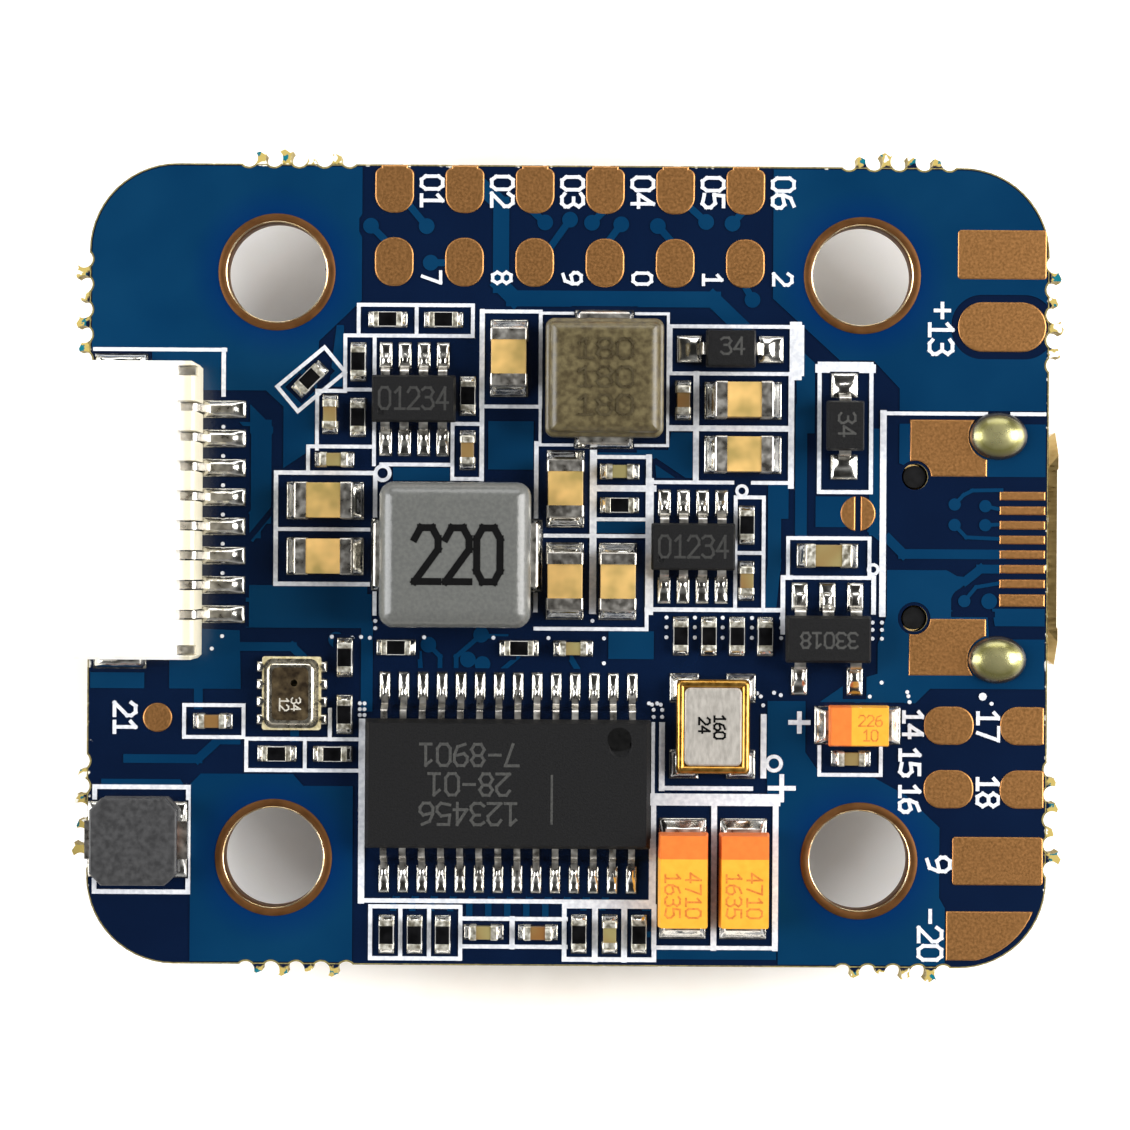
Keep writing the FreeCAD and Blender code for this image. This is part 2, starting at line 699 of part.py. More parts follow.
def flash_memory():
    body = moulded_body(5.2, 5.3, 0.1, 0.85, 1.05, 1.85, 0.18)
    body = body.cut(Part.makeCone(0.28, 0.35, 0.08, Vector(-1.9, -1.9, 1.78)))
    lead = gull_lead(2.65, 0.95, 3.95, 0.65, 0.42, 0.2)
    offsets = spread(4, 1.27)
    leads = row_of_leads(lead, offsets, 1) + row_of_leads(lead, offsets, -1)
    lands = [land(x, side * 3.75, 0.6, 1.3) for x in offsets for side in (-1, 1)]
    return {"flash_body": [body], "flash_leads": leads, "component_lands": lands}


def status_light():
    """A clear resin block on a thin base, with a land at each end."""
    base = block(0, 0, 0, 1.6, 0.8, 0.25)
    lens = block(0, 0, 0.25, 1.1, 0.8, 0.35)
    lens = lens.makeChamfer(0.06, edges_above(lens, 0.59))
    lands = [land(side * 0.8, 0, 0.6, 0.8) for side in (-1, 1)]
    return {"status_lights": [base.fuse(lens).removeSplitter()], "component_lands": lands}


def leg_slot(y):
    return rounded_slab(USB_LEG_X, y, 0, 1.3, 0.6, BOARD_THICKNESS, 0.29)


def leg_solder_outline(y, height):
    stretch = Part.makeCylinder(0.815, height)
    wide = rounded_slab(USB_LEG_X, y, 0, 2.0, 1.63, height, 0.8)
    stretch.translate(Vector(USB_LEG_X, y, 0))
    return wide.fuse(stretch).removeSplitter()


def usb_leg(y):
    return block(USB_LEG_X, y, -0.6, USB_LEG_LENGTH, USB_WALL, 0.6 + BOARD_THICKNESS + 0.2)


def usb_leg_solder():
    """Solder that fills each leg's slot and domes over its end on the upper face."""
    for side in (-1, 1):
        y = USB_MIDDLE_Y + side * USB_LEG_SPACING / 2
        ball = Part.makeSphere(1.0, Vector(0, 0, 0))
        squashed = FreeCAD.Matrix()
        squashed.scale(1.0, 0.82, 0.52)
        dome = ball.transformGeometry(squashed)
        dome.translate(Vector(USB_LEG_X, y, BOARD_THICKNESS))
        dome = dome.common(block(USB_LEG_X, y, BOARD_THICKNESS, 3.0, 3.0, 1.0))
        solder = dome.fuse(leg_slot(y)).cut(usb_leg(y))
        add("usb_leg_solder", solder)


def usb_section(x, inset):
    """The socket's outline across X: narrow at the board, wide away from it."""
    narrow = USB_FACE_WIDTH / 2 - inset
    wide = USB_WIDTH / 2 - inset
    shoulder = -0.95
    points = (
        (narrow, -inset), (wide, shoulder), (wide, inset - USB_HEIGHT),
        (-wide, inset - USB_HEIGHT), (-wide, shoulder), (-narrow, -inset),
    )
    corners = [Vector(x, USB_MIDDLE_Y + y, z) for y, z in points]
    return Part.makePolygon(corners + corners[:1])


def usb_shell(tail_slot, pegs):
    """The folded shell: a tube with a flared mouth, cut at the back for the contacts and the pegs."""
    outside = Part.Face(usb_section(USB_REAR, 0.0)).extrude(Vector(USB_MOUTH - USB_REAR, 0, 0))
    inside = Part.Face(usb_section(USB_REAR, USB_WALL)).extrude(Vector(USB_MOUTH - USB_REAR, 0, 0))
    lip = USB_MOUTH + USB_LIP_LENGTH
    flare = Part.makeLoft(
        [usb_section(USB_MOUTH, 0.0), usb_section(lip, -USB_FLARE)], True, True)
    flare_inside = Part.makeLoft(
        [usb_section(USB_MOUTH, USB_WALL), usb_section(lip, USB_WALL - USB_FLARE)], True, True)
    below_board = block(USB_MOUTH, USB_MIDDLE_Y, -5.0, 4.0, 12.0, 5.0)
    legs = []
    for side in (-1, 1):
        y = USB_MIDDLE_Y + side * USB_LEG_SPACING / 2
        legs.append(block(USB_LEG_X, y, -1.6, USB_LEG_LENGTH, USB_WALL, 1.05))
        legs.append(usb_leg(y))
    tube = outside.fuse([flare.common(below_board)] + legs)
    return tube.cut([inside, flare_inside, tail_slot] + pegs).removeSplitter()


def usb_contact(y):
    """A flat spring: a blade on the tongue, a riser behind it and a tail soldered to the board."""
    blade = Part.makeBox(3.9, 0.25, 0.1, Vector(USB_REAR + 0.9, y - 0.125, -0.8))
    riser = Part.makeBox(0.1, 0.25, 0.75, Vector(USB_REAR + 0.8, y - 0.125, -0.8))
    tail = Part.makeBox(1.4, 0.25, 0.1, Vector(USB_REAR - 0.6, y - 0.125, -LAND_HEIGHT - 0.1))
    return blade.fuse([riser, tail]).removeSplitter()


def usb_socket():
    pegs = []
    for side in (-1, 1):
        y = USB_MIDDLE_Y + side * USB_PEG_SPACING / 2
        pegs.append(disc(USB_PEG_X, y, -0.5, USB_PEG_RADIUS, BOARD_THICKNESS + 0.35))
    tail_slot = block(USB_REAR, USB_MIDDLE_Y, -0.4, 3.0, 3.2, 0.4)
    add("usb_shell", usb_shell(tail_slot, pegs))

    interior = Part.Face(usb_section(USB_REAR, USB_WALL)).extrude(Vector(USB_DEPTH_OF_BLOCK, 0, 0))
    rear_block = interior.common(block(USB_REAR + 0.7, USB_MIDDLE_Y, -5.0, 1.4, 12.0, 6.0))
    tongue = block((USB_REAR + USB_MOUTH) / 2 + 0.3, USB_MIDDLE_Y, -1.3, 3.6, 3.7, 0.6)
    insulator = rear_block.fuse([tongue] + pegs).removeSplitter()
    contacts = []
    for offset in spread(USB_CONTACTS, USB_CONTACT_PITCH):
        y = USB_MIDDLE_Y + offset
        contacts.append(usb_contact(y))
        add("component_lands", block(USB_REAR - 0.6, y, -LAND_HEIGHT, 1.2, 0.35, LAND_HEIGHT))
    add("usb_insulator", insulator.cut(contacts))
    add("usb_contacts", *contacts)


def boot_button():
    """A snap-dome switch: a moulded base, the dome in its well, the plunger and a metal cover."""
    base = rounded_slab(0, 0, 0, BUTTON_LENGTH - 0.3, BUTTON_WIDTH - 0.3, BUTTON_BASE_HEIGHT, 0.15)
    base = base.cut(disc(0, 0, BUTTON_FLOOR, BUTTON_WELL_RADIUS, BUTTON_BASE_HEIGHT))
    bowl_radius = (DOME_RADIUS ** 2 + DOME_HEIGHT ** 2) / (2 * DOME_HEIGHT)
    centre = Vector(0, 0, BUTTON_FLOOR + DOME_HEIGHT - bowl_radius)
    above_floor = disc(0, 0, BUTTON_FLOOR, DOME_RADIUS, 1.0)
    dome = Part.makeSphere(bowl_radius, centre).cut(Part.makeSphere(bowl_radius - DOME_SHEET, centre))
    dome = dome.common(above_floor)
    seat = BUTTON_FLOOR + DOME_HEIGHT
    collar = disc(0, 0, seat, BUTTON_WELL_RADIUS - 0.06, 0.25)
    stem = disc(0, 0, seat, PLUNGER_RADIUS, BUTTON_HEIGHT - seat)
    plunger = collar.fuse(stem).removeSplitter()
    plunger = plunger.makeFillet(0.1, edges_above(plunger, BUTTON_HEIGHT - 0.01))
    cover_top = BUTTON_BASE_HEIGHT + BUTTON_COVER_SHEET
    cover = rounded_slab(0, 0, 0.2, BUTTON_LENGTH, BUTTON_WIDTH, cover_top - 0.2, 0.25)
    hollow = rounded_slab(0, 0, 0, BUTTON_LENGTH - 0.3, BUTTON_WIDTH - 0.3, BUTTON_BASE_HEIGHT, 0.15)
    bore = disc(0, 0, 0, PLUNGER_RADIUS + PLUNGER_CLEARANCE, 3.0)
    windows = [block(side * BUTTON_LENGTH / 2, 0, 0, 0.8, 1.2, 0.7) for side in (-1, 1)]
    cover = cover.cut([hollow, bore] + windows)
    terminals = []
    lands = []
    for side in (-1, 1):
        strip = block(side * (BUTTON_LENGTH / 2 + 0.1), 0, 0, 0.8, 0.6, 0.12)
        terminals.append(strip)
        lands.append(land(side * (BUTTON_LENGTH / 2 + 0.2), 0, 0.9, 0.8))
    return {
        "button_base": [base.cut(terminals)],
        "button_dome": [dome],
        "button_plunger": [plunger],
        "button_cover": [cover],
        "button_terminals": terminals,
        "component_lands": lands,
    }


# Where the components stand: x, y and the turn in degrees
LARGE_CAPACITORS = (
    (-2.05, 7.1, 90), (5.95, 5.7, 0), (5.95, 3.85, 0), (-8.3, 2.2, 0),
    (-8.3, 0.3, 0), (-0.1, 2.65, 90), (-0.1, -0.5, 90), (1.7, -0.5, 90),
)
RESISTORS = (
    (-6.2, 8.4, 0), (-4.3, 8.4, 0), (-7.2, 6.95, 90), (-7.2, 5.05, 90), (-8.85, 6.35, 45),
    (-3.45, 5.8, 90), (1.75, 2.1, 0), (6.1, 1.45, 90), (-5.85, -2.8, 0), (-1.65, -2.8, 0),
    (-7.6, -3.15, 90), (-7.6, -5.1, 90), (-9.9, -6.45, 0), (-8.0, -6.45, 0),
    (0.45, -12.55, 90), (2.5, -12.55, 90),
)
REGULATOR_RESISTORS = [(3.87 + 0.96 * number, -2.35, 90) for number in range(4)]
OVERLAY_RESISTORS = [(-6.12 + 0.96 * number, -12.6, 90) for number in range(3)]
SMALL_CAPACITORS = (
    (-8.15, 5.15, 90), (-8.0, 3.6, 0), (-3.45, 3.95, 90), (3.9, 5.7, 90), (1.75, 3.25, 0),
    (6.1, -0.45, 90), (0.2, -2.8, 0), (-12.1, -5.35, 0), (9.7, -6.5, 0), (-2.8, -12.5, 0),
    (-0.95, -12.5, 0), (1.5, -12.55, 90),
)
UNDER_RESISTORS = [(-6.0 + 1.4 * number, 7.6, 90) for number in range(5)]
UNDER_CAPACITORS = [(x, y, 90) for x in (-8.9, 6.1) for y in (-3.0, -1.0, 1.0, 3.0)]
STATUS_LIGHTS = [(2.6 + 2.2 * number, 11.6, 90) for number in range(3)]
BOOT_BUTTON = (-13.4, -2.0)


def fit_components():
    fit(display_chip(), -2.0, -7.4)
    fit(switching_regulator(), -5.28, 5.68)
    fit(switching_regulator(), 4.26, 0.7)
    fit(linear_regulator(), 8.87, -2.42)
    fit(linear_regulator(), 9.2, -4.6, 90, under=True)
    fit(moulded_inductor("main_inductor", 5.1, 4.9, 2.8, 0.45, 0.15, 2.15, 0.25), -3.8, 0.37)
    fit(moulded_inductor("second_inductor", 4.0, 4.0, 2.0, 0.25, 0.15, 1.7, 0.25), 1.2, 6.4, 90)
    fit(filter_inductor(), -14.65, -9.4)
    fit(crystal(), 4.97, -5.42)
    fit(crystal(), 2.6, 8.4, 90, under=True)
    fit(barometer(), -9.4, -4.38)
    for x in (3.98, 6.05):
        fit(tantalum("large_tantalum_bodies", 3.24, 1.7, 1.6, 1.2), x, -10.63, 90)
    fit(tantalum("small_tantalum_body", 2.05, 1.4, 1.2, 1.0), 9.92, -5.36)
    fit(diode(), 5.5, 7.45)
    fit(diode(), 9.41, 4.85, 90)
    for x, y, angle in LARGE_CAPACITORS:
        fit(chip_capacitor("large", 2.0, 1.25, 1.2, 0.42, 0.32), x, y, angle)
    fit(chip_capacitor("small", 1.6, 0.8, 0.8, 0.35, 0.25), 8.86, 0.42)
    for x, y, angle in SMALL_CAPACITORS:
        fit(chip_capacitor("small", 1.0, 0.5, 0.5, 0.25, 0.18), x, y, angle)
    for x, y, angle in UNDER_CAPACITORS:
        fit(chip_capacitor("small", 1.0, 0.5, 0.5, 0.25, 0.18), x, y, angle, under=True)
    for x, y, angle in list(RESISTORS) + REGULATOR_RESISTORS + OVERLAY_RESISTORS:
        fit(chip_resistor(), x, y, angle)
    for x, y, angle in UNDER_RESISTORS:
        fit(chip_resistor(), x, y, angle, under=True)
    fit(processor(), -1.4, 0.0, 0, under=True)
    fit(gyro(), 8.6, 5.0, 0, under=True)
    fit(flash_memory(), -0.4, -10.2, 90, under=True)
    for x, y, angle in STATUS_LIGHTS:
        fit(status_light(), x, y, angle, under=True)
    fit(boot_button(), BOOT_BUTTON[0], BOOT_BUTTON[1], 90, under=True)


circuit_board()
mounting_hole_plating()
signal_pads()
power_pads()
video_pads()
spare_usb_pads()
test_pads()
motor_connector()
usb_leg_solder()
usb_socket()
fit_components()

for node, shapes in pieces.items():
    solids = [solid for shape in shapes for solid in shape.Solids]
    whole = solids[0] if len(solids) == 1 else Part.makeCompound(solids)
    whole.exportStep("parts/" + node + ".step")
    print(node, len(solids), round(whole.Volume, 4), whole.isValid())
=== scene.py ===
import math

import bmesh
import bpy
from mathutils import Matrix, Vector, noise
from mathutils.geometry import delaunay_2d_cdt


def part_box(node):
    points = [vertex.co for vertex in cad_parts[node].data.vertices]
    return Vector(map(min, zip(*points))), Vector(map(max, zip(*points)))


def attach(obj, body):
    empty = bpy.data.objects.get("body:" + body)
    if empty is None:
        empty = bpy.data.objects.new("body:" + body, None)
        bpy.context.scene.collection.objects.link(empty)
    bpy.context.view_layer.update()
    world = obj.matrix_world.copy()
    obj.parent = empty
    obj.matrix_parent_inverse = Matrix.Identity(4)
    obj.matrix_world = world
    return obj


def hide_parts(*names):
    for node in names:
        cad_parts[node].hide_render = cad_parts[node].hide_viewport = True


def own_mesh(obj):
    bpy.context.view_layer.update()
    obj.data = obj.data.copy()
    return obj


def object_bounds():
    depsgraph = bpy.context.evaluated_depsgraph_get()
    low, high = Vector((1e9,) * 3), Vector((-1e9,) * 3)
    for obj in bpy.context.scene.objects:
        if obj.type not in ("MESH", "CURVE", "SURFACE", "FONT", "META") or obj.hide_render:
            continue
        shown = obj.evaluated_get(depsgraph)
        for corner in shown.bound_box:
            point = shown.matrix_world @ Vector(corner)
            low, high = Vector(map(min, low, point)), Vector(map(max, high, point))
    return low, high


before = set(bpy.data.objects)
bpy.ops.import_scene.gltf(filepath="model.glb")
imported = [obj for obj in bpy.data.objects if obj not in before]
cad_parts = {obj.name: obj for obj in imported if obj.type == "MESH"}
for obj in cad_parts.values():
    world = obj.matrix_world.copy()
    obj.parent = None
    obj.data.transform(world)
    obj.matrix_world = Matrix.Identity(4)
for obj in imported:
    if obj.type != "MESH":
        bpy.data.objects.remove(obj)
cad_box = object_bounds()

MM = 0.001
board_low, board_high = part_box("circuit_board")
TOP = board_high.z
UNDER = board_low.z


# Camera, floor and lights: the board lies flat on a white table and is seen from straight above,
# a hair off square, with a soft box on each side, the right one stronger.
CAMERA_HEIGHT = 0.130
LENS_MM = 121.2
TWIST_DEGREES = 0.355
camera_data = bpy.data.cameras.new("camera")
camera_data.lens = LENS_MM
camera_data.sensor_width = 36.0
camera = bpy.data.objects.new("camera", camera_data)
camera.location = (-0.1 * MM, 0.05 * MM, CAMERA_HEIGHT + TOP)
camera.rotation_euler = (0, 0, math.radians(TWIST_DEGREES))
bpy.context.scene.collection.objects.link(camera)
bpy.context.scene.camera = camera
bpy.context.scene.view_settings.view_transform = "Standard"


def linear(hex_colour):
    """An sRGB hex colour as the linear values that a shader takes."""
    parts = [int(hex_colour[place:place + 2], 16) / 255 for place in (1, 3, 5)]
    return [part / 12.92 if part <= 0.04045 else ((part + 0.055) / 1.055) ** 2.4 for part in parts] + [1]


def add(tree, kind, inputs=None, **settings):
    """Adds a node, sets its properties, and fills its sockets with values or links."""
    made = tree.nodes.new("ShaderNode" + kind)
    for name, value in settings.items():
        setattr(made, name, value)
    for socket, value in (inputs or {}).items():
        if isinstance(value, bpy.types.NodeSocket):
            tree.links.new(value, made.inputs[socket])
        else:
            made.inputs[socket].default_value = value
    return made


def new_material(name, colour, roughness, metallic=0.0):
    material = bpy.data.materials.new(name)
    material.use_nodes = True
    shader = material.node_tree.nodes["Principled BSDF"]
    shader.inputs["Base Color"].default_value = linear(colour)
    shader.inputs["Roughness"].default_value = roughness
    shader.inputs["Metallic"].default_value = metallic
    return material, material.node_tree, shader


def mottled(tree, shader, size_mm, colours, roughness, depth_mm=0.0, detail=4.0, stretch=(1, 1, 1)):
    """Clouds of two tones with a matching change of gloss, and a fine relief if a depth is given."""
    place = add(tree, "TexCoord").outputs["Object"]
    scaled = add(tree, "Mapping", {"Vector": place, "Scale": stretch}).outputs["Vector"]
    cloud = add(tree, "TexNoise", {"Vector": scaled, "Scale": 1 / (size_mm * MM), "Detail": detail})
    ramp = add(tree, "ValToRGB", {"Fac": cloud.outputs["Fac"]})
    ramp.color_ramp.elements[0].position = 0.35
    ramp.color_ramp.elements[0].color = linear(colours[0])
    ramp.color_ramp.elements[1].position = 0.65
    ramp.color_ramp.elements[1].color = linear(colours[1])
    tree.links.new(ramp.outputs["Color"], shader.inputs["Base Color"])
    gloss = add(tree, "MapRange", {
        "Value": cloud.outputs["Fac"], "From Min": 0.3, "From Max": 0.7,
        "To Min": roughness[0], "To Max": roughness[1]})
    tree.links.new(gloss.outputs["Result"], shader.inputs["Roughness"])
    if depth_mm:
        relief = add(tree, "Bump", {
            "Height": cloud.outputs["Fac"], "Strength": 1.0, "Distance": depth_mm * MM})
        tree.links.new(relief.outputs["Normal"], shader.inputs["Normal"])
    return ramp, cloud


def clouded(name, size_mm, tones, gloss, depth_mm=0.0, metallic=0.0, specular=0.5, detail=4.0,
            stretch=(1, 1, 1)):
    """A finish of two clouded tones, whose gloss and fine relief follow the clouds."""
    material, tree, shader = new_material(name, tones[0], gloss[0], metallic)
    shader.inputs["Specular IOR Level"].default_value = specular
    mottled(tree, shader, size_mm, tones, gloss, depth_mm, detail, stretch)
    return material


# Matt card: no highlight. Away from the board the card glows, a painted light that washes out the board's
# shadow and the card's own edge.
floor_material, floor_tree, floor_shader = new_material("matt_white_card", "#f6f0e7", 0.9)
mottled(floor_tree, floor_shader, 2.0, ("#f3ebe0", "#f8f1e7"), (0.85, 0.95))
floor_shader.inputs["Emission Color"].default_value = (1, 1, 1, 1)
floor_place = add(floor_tree, "TexCoord").outputs["Object"]
floor_reach = add(floor_tree, "VectorMath", {0: floor_place}, operation="LENGTH").outputs["Value"]
# Painted light: emission rises from 14 to 19 mm out from the middle, past the board's edge, so no shadow
# shows there.
painted_glow_past_board = add(floor_tree, "MapRange", {
    "Value": floor_reach, "From Min": 14 * MM, "From Max": 19 * MM, "To Min": 0.0, "To Max": 0.5})
floor_tree.links.new(painted_glow_past_board.outputs["Result"], floor_shader.inputs["Emission Strength"])
bpy.ops.mesh.primitive_plane_add(size=0.8, location=(0, 0, cad_box[0][2] - 0.2 * MM))
floor = bpy.context.object
floor.name = "table"
floor.data.materials.append(floor_material)


def soft_box(name, place, size, energy, warmth):
    data = bpy.data.lights.new(name, "AREA")
    data.shape = "RECTANGLE"
    data.size, data.size_y = size
    data.energy = energy
    data.color = warmth
    lamp = bpy.data.objects.new(name, data)
    lamp.location = place
    lamp.rotation_euler = Vector(place).to_track_quat("Z", "Y").to_euler()
    bpy.context.scene.collection.objects.link(lamp)


soft_box("right_soft_box", (0.26, 0.03, 0.17), (0.16, 0.26), 1.25, (1.0, 0.985, 0.96))
soft_box("left_soft_box", (-0.28, 0.01, 0.17), (0.16, 0.26), 0.85, (0.98, 0.99, 1.0))
soft_box("far_soft_box", (0.02, 0.28, 0.16), (0.26, 0.12), 0.35, (1, 1, 1))

world = bpy.data.worlds.new("studio")
world.use_nodes = True
bpy.context.scene.world = world
sky = world.node_tree
direction = add(sky, "TexCoord").outputs["Generated"]
sky_parts = add(sky, "SeparateXYZ", {"Vector": direction})
overhead = add(sky, "MapRange", {
    "Value": sky_parts.outputs["Z"], "From Min": 0.3, "From Max": 0.92, "To Min": 0.4, "To Max": 0.03})
sideways = add(sky, "Math", {0: sky_parts.outputs["X"]}, operation="ABSOLUTE").outputs[0]
wall = add(sky, "MapRange", {"Value": sideways, "From Min": 0.6, "From Max": 0.95,
                             "To Min": 0.0, "To Max": 2.2}).outputs["Result"]
dimming = add(sky, "Math", {0: overhead.outputs["Result"], 1: wall}, operation="ADD").outputs[0]
sky.nodes["Background"].inputs["Color"].default_value = (1, 1, 1, 1)
sky.links.new(dimming, sky.nodes["Background"].inputs["Strength"])


# Circuit board: glass cloth in epoxy, milled to shape and snapped out of its panel, with a blue
# liquid light-cured solder mask on both faces. The mask is dark over bare laminate; the cut edge
# shows the straw-coloured cloth, with scraps of mask on the tips of the broken tabs.
def finish_node(material, *nodes):
    """Gives CAD nodes their finish."""
    for name in nodes:
        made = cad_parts[name]
        if not made.data.materials:
            made.data.materials.append(material)
        for slot in made.material_slots:
            slot.material = material


GLASS_YARN = 0.12
# Mask over bare cloth is near black and glossy; the sawn edge is matt, straw and layered.
mask, mask_tree, mask_shader = new_material("blue_solder_mask_over_laminate", "#0a1836", 0.28)
mask_shader.inputs["IOR"].default_value = 1.5
where = add(mask_tree, "TexCoord").outputs["Object"]
facing = add(mask_tree, "SeparateXYZ", {
    "Vector": add(mask_tree, "NewGeometry").outputs["Normal"]}).outputs["Z"]
flat_face = add(mask_tree, "Math", {0: facing}, operation="ABSOLUTE").outputs[0]
on_face = add(mask_tree, "Math", {0: flat_face, 1: 0.7}, operation="GREATER_THAN").outputs[0]
yarn_size = 1 / (GLASS_YARN * MM)
layers = add(mask_tree, "TexWave", {
    "Vector": where, "Scale": yarn_size * math.pi / 10, "Distortion": 2.5, "Detail": 4.0,
    "Detail Scale": 2.0}, bands_direction="Z").outputs["Fac"]
cloth = add(mask_tree, "ValToRGB", {"Fac": layers})
cloth.color_ramp.elements[0].color = linear("#8c7c48")
cloth.color_ramp.elements[1].color = linear("#b8aa78")
cloud = add(mask_tree, "TexNoise", {"Vector": where, "Scale": 1 / (3.0 * MM), "Detail": 5.0})
resin = add(mask_tree, "ValToRGB", {"Fac": cloud.outputs["Fac"]})
resin.color_ramp.elements[0].color = linear("#030f28")
resin.color_ramp.elements[1].color = linear("#061936")
reach = add(mask_tree, "VectorMath", {0: where, 1: (1 / (16.45 * MM), 1 / (13.75 * MM), 0)},
            operation="MULTIPLY").outputs[0]
reach_parts = add(mask_tree, "SeparateXYZ", {"Vector": reach})
reach_x = add(mask_tree, "Math", {0: reach_parts.outputs["X"]}, operation="ABSOLUTE").outputs[0]
reach_y = add(mask_tree, "Math", {0: reach_parts.outputs["Y"]}, operation="ABSOLUTE").outputs[0]
outermost = add(mask_tree, "Math", {0: reach_x, 1: reach_y}, operation="MAXIMUM").outputs[0]
ragged = add(mask_tree, "TexNoise", {"Vector": where, "Scale": 1 / (0.35 * MM), "Detail": 3.0})
torn = add(mask_tree, "Math", {0: ragged.outputs["Fac"], 1: 0.05, 2: outermost},
           operation="MULTIPLY_ADD").outputs[0]
bare_tab = add(mask_tree, "MapRange", {
    "Value": torn, "From Min": 1.022, "From Max": 1.026}).outputs["Result"]
scraps = add(mask_tree, "ValToRGB", {"Fac": ragged.outputs["Fac"]})
scraps.color_ramp.interpolation = "CONSTANT"
scraps.color_ramp.elements[0].color = linear("#136a78")
scraps.color_ramp.elements[1].color = linear("#b7a25c")
scraps.color_ramp.elements[1].position = 0.42
bleached = scraps.color_ramp.elements.new(0.6)
bleached.color = linear("#f2efe2")
face_colour = add(mask_tree, "MixRGB", {
    "Fac": bare_tab, "Color1": resin.outputs["Color"], "Color2": scraps.outputs["Color"]}).outputs[0]
skin = add(mask_tree, "MixRGB", {
    "Fac": on_face, "Color1": cloth.outputs["Color"], "Color2": face_colour}).outputs[0]
mask_tree.links.new(skin, mask_shader.inputs["Base Color"])
matt_edge = add(mask_tree, "MapRange", {
    "Value": on_face, "To Min": 0.75, "To Max": 0.2}).outputs["Result"]
mask_tree.links.new(matt_edge, mask_shader.inputs["Roughness"])
weave = add(mask_tree, "TexNoise", {"Vector": where, "Scale": yarn_size, "Detail": 2.0})
weave_relief = add(mask_tree, "Bump", {
    "Height": weave.outputs["Fac"], "Strength": 0.6, "Distance": 0.004 * MM})
mask_tree.links.new(weave_relief.outputs["Normal"], mask_shader.inputs["Normal"])
finish_node(mask, "circuit_board")


# Copper under the mask: etched pours, tracks and via pads. The mask is thinner and brighter over
# copper, and stands proud by the copper's height.
def island_points(name):
    """The corner points of each separate solid in a CAD node."""
    mesh = bmesh.new()
    mesh.from_mesh(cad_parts[name].data)
    bmesh.ops.remove_doubles(mesh, verts=mesh.verts, dist=1e-7)
    seen = set()
    found = []
    for start in mesh.verts:
        if start.index in seen:
            continue
        seen.add(start.index)
        waiting = [start]
        points = []
        while waiting:
            vertex = waiting.pop()
            points.append(vertex.co.copy())
            for edge in vertex.link_edges:
                other = edge.other_vert(vertex)
                if other.index not in seen:
                    seen.add(other.index)
                    waiting.append(other)
        found.append(points)
    mesh.free()
    return found


def rectangle_of(points):
    """The centre, half sides and top corners of a flat rectangular solid, in its own directions."""
    centre = sum(points, Vector()) / len(points)
    side = 1 if centre.z > (TOP + UNDER) / 2 else -1
    level = max(point.z * side for point in points) * side
    corners = [point for point in points if abs(point.z - level) < 1e-6]
    corners.sort(key=lambda point: math.atan2(point.y - centre.y, point.x - centre.x))
    first = (corners[1] - corners[0]) / 2
    second = (corners[2] - corners[1]) / 2
    return centre, first, second, level, side


def circle_points(x, y, radius, steps=24):
    turns = [2 * math.pi * step / steps for step in range(steps)]
    return [(x + radius * math.cos(turn), y + radius * math.sin(turn)) for turn in turns]


def bar(start, end, width):
    """A straight stroke with square ends."""
    along = Vector(end) - Vector(start)
    along.normalize()
    along *= width / 2
    across = Vector((-along.y, along.x))
    first = Vector(start) - along
    last = Vector(end) + along
    return [tuple(first - across), tuple(last - across), tuple(last + across), tuple(first + across)]


def stroke(points, width):
    """Bars along a line of points."""
    return [bar(start, end, width) for start, end in zip(points, points[1:])]


def joined_stroke(points, width):
    """A stroke with round corners and ends."""
    shapes = stroke(points, width * 0.98)
    return shapes + [circle_points(x, y, width / 2, 10) for x, y in points]


def rounded_rectangle(left, right, low, high, radius):
    points = []
    corners = ((right - radius, high - radius, 0), (left + radius, high - radius, 90),
               (left + radius, low + radius, 180), (right - radius, low + radius, 270))
    for x, y, start in corners:
        for step in range(16):
            turn = math.radians(start + step * 6)
            points.append((x + radius * math.cos(turn), y + radius * math.sin(turn)))
    return points


def encloses(outline, point):
    """Whether a point lies inside an outline, by the crossings of a level ray."""
    inside = False
    for (x, y), (next_x, next_y) in zip(outline, outline[1:] + outline[:1]):
        if (y > point.y) != (next_y > point.y):
            if point.x < x + (next_x - x) * (point.y - y) / (next_y - y):
                inside = not inside
    return inside


def covers(outlines, point):
    for (left, low, right, high), outline in outlines:
        if left < point.x < right and low < point.y < high and encloses(outline, point):
            return True
    return False


def with_limits(outlines):
    """Outlines with the box round each, so that most can be passed over at once."""
    found = []
    for outline in outlines:
        across = [x for x, y in outline]
        up = [y for x, y in outline]
        found.append(((min(across), min(up), max(across), max(up)), outline))
    return found


def add_walls(mesh, below):
    """A wall from each open edge to the points below its ends, in the same order on every run."""
    rims = [loop for face in mesh.faces for loop in face.loops if len(loop.edge.link_faces) == 1]
    for loop in rims:
        first, second = loop.vert, loop.link_loop_next.vert
        mesh.faces.new((second, first, below[first], below[second]))


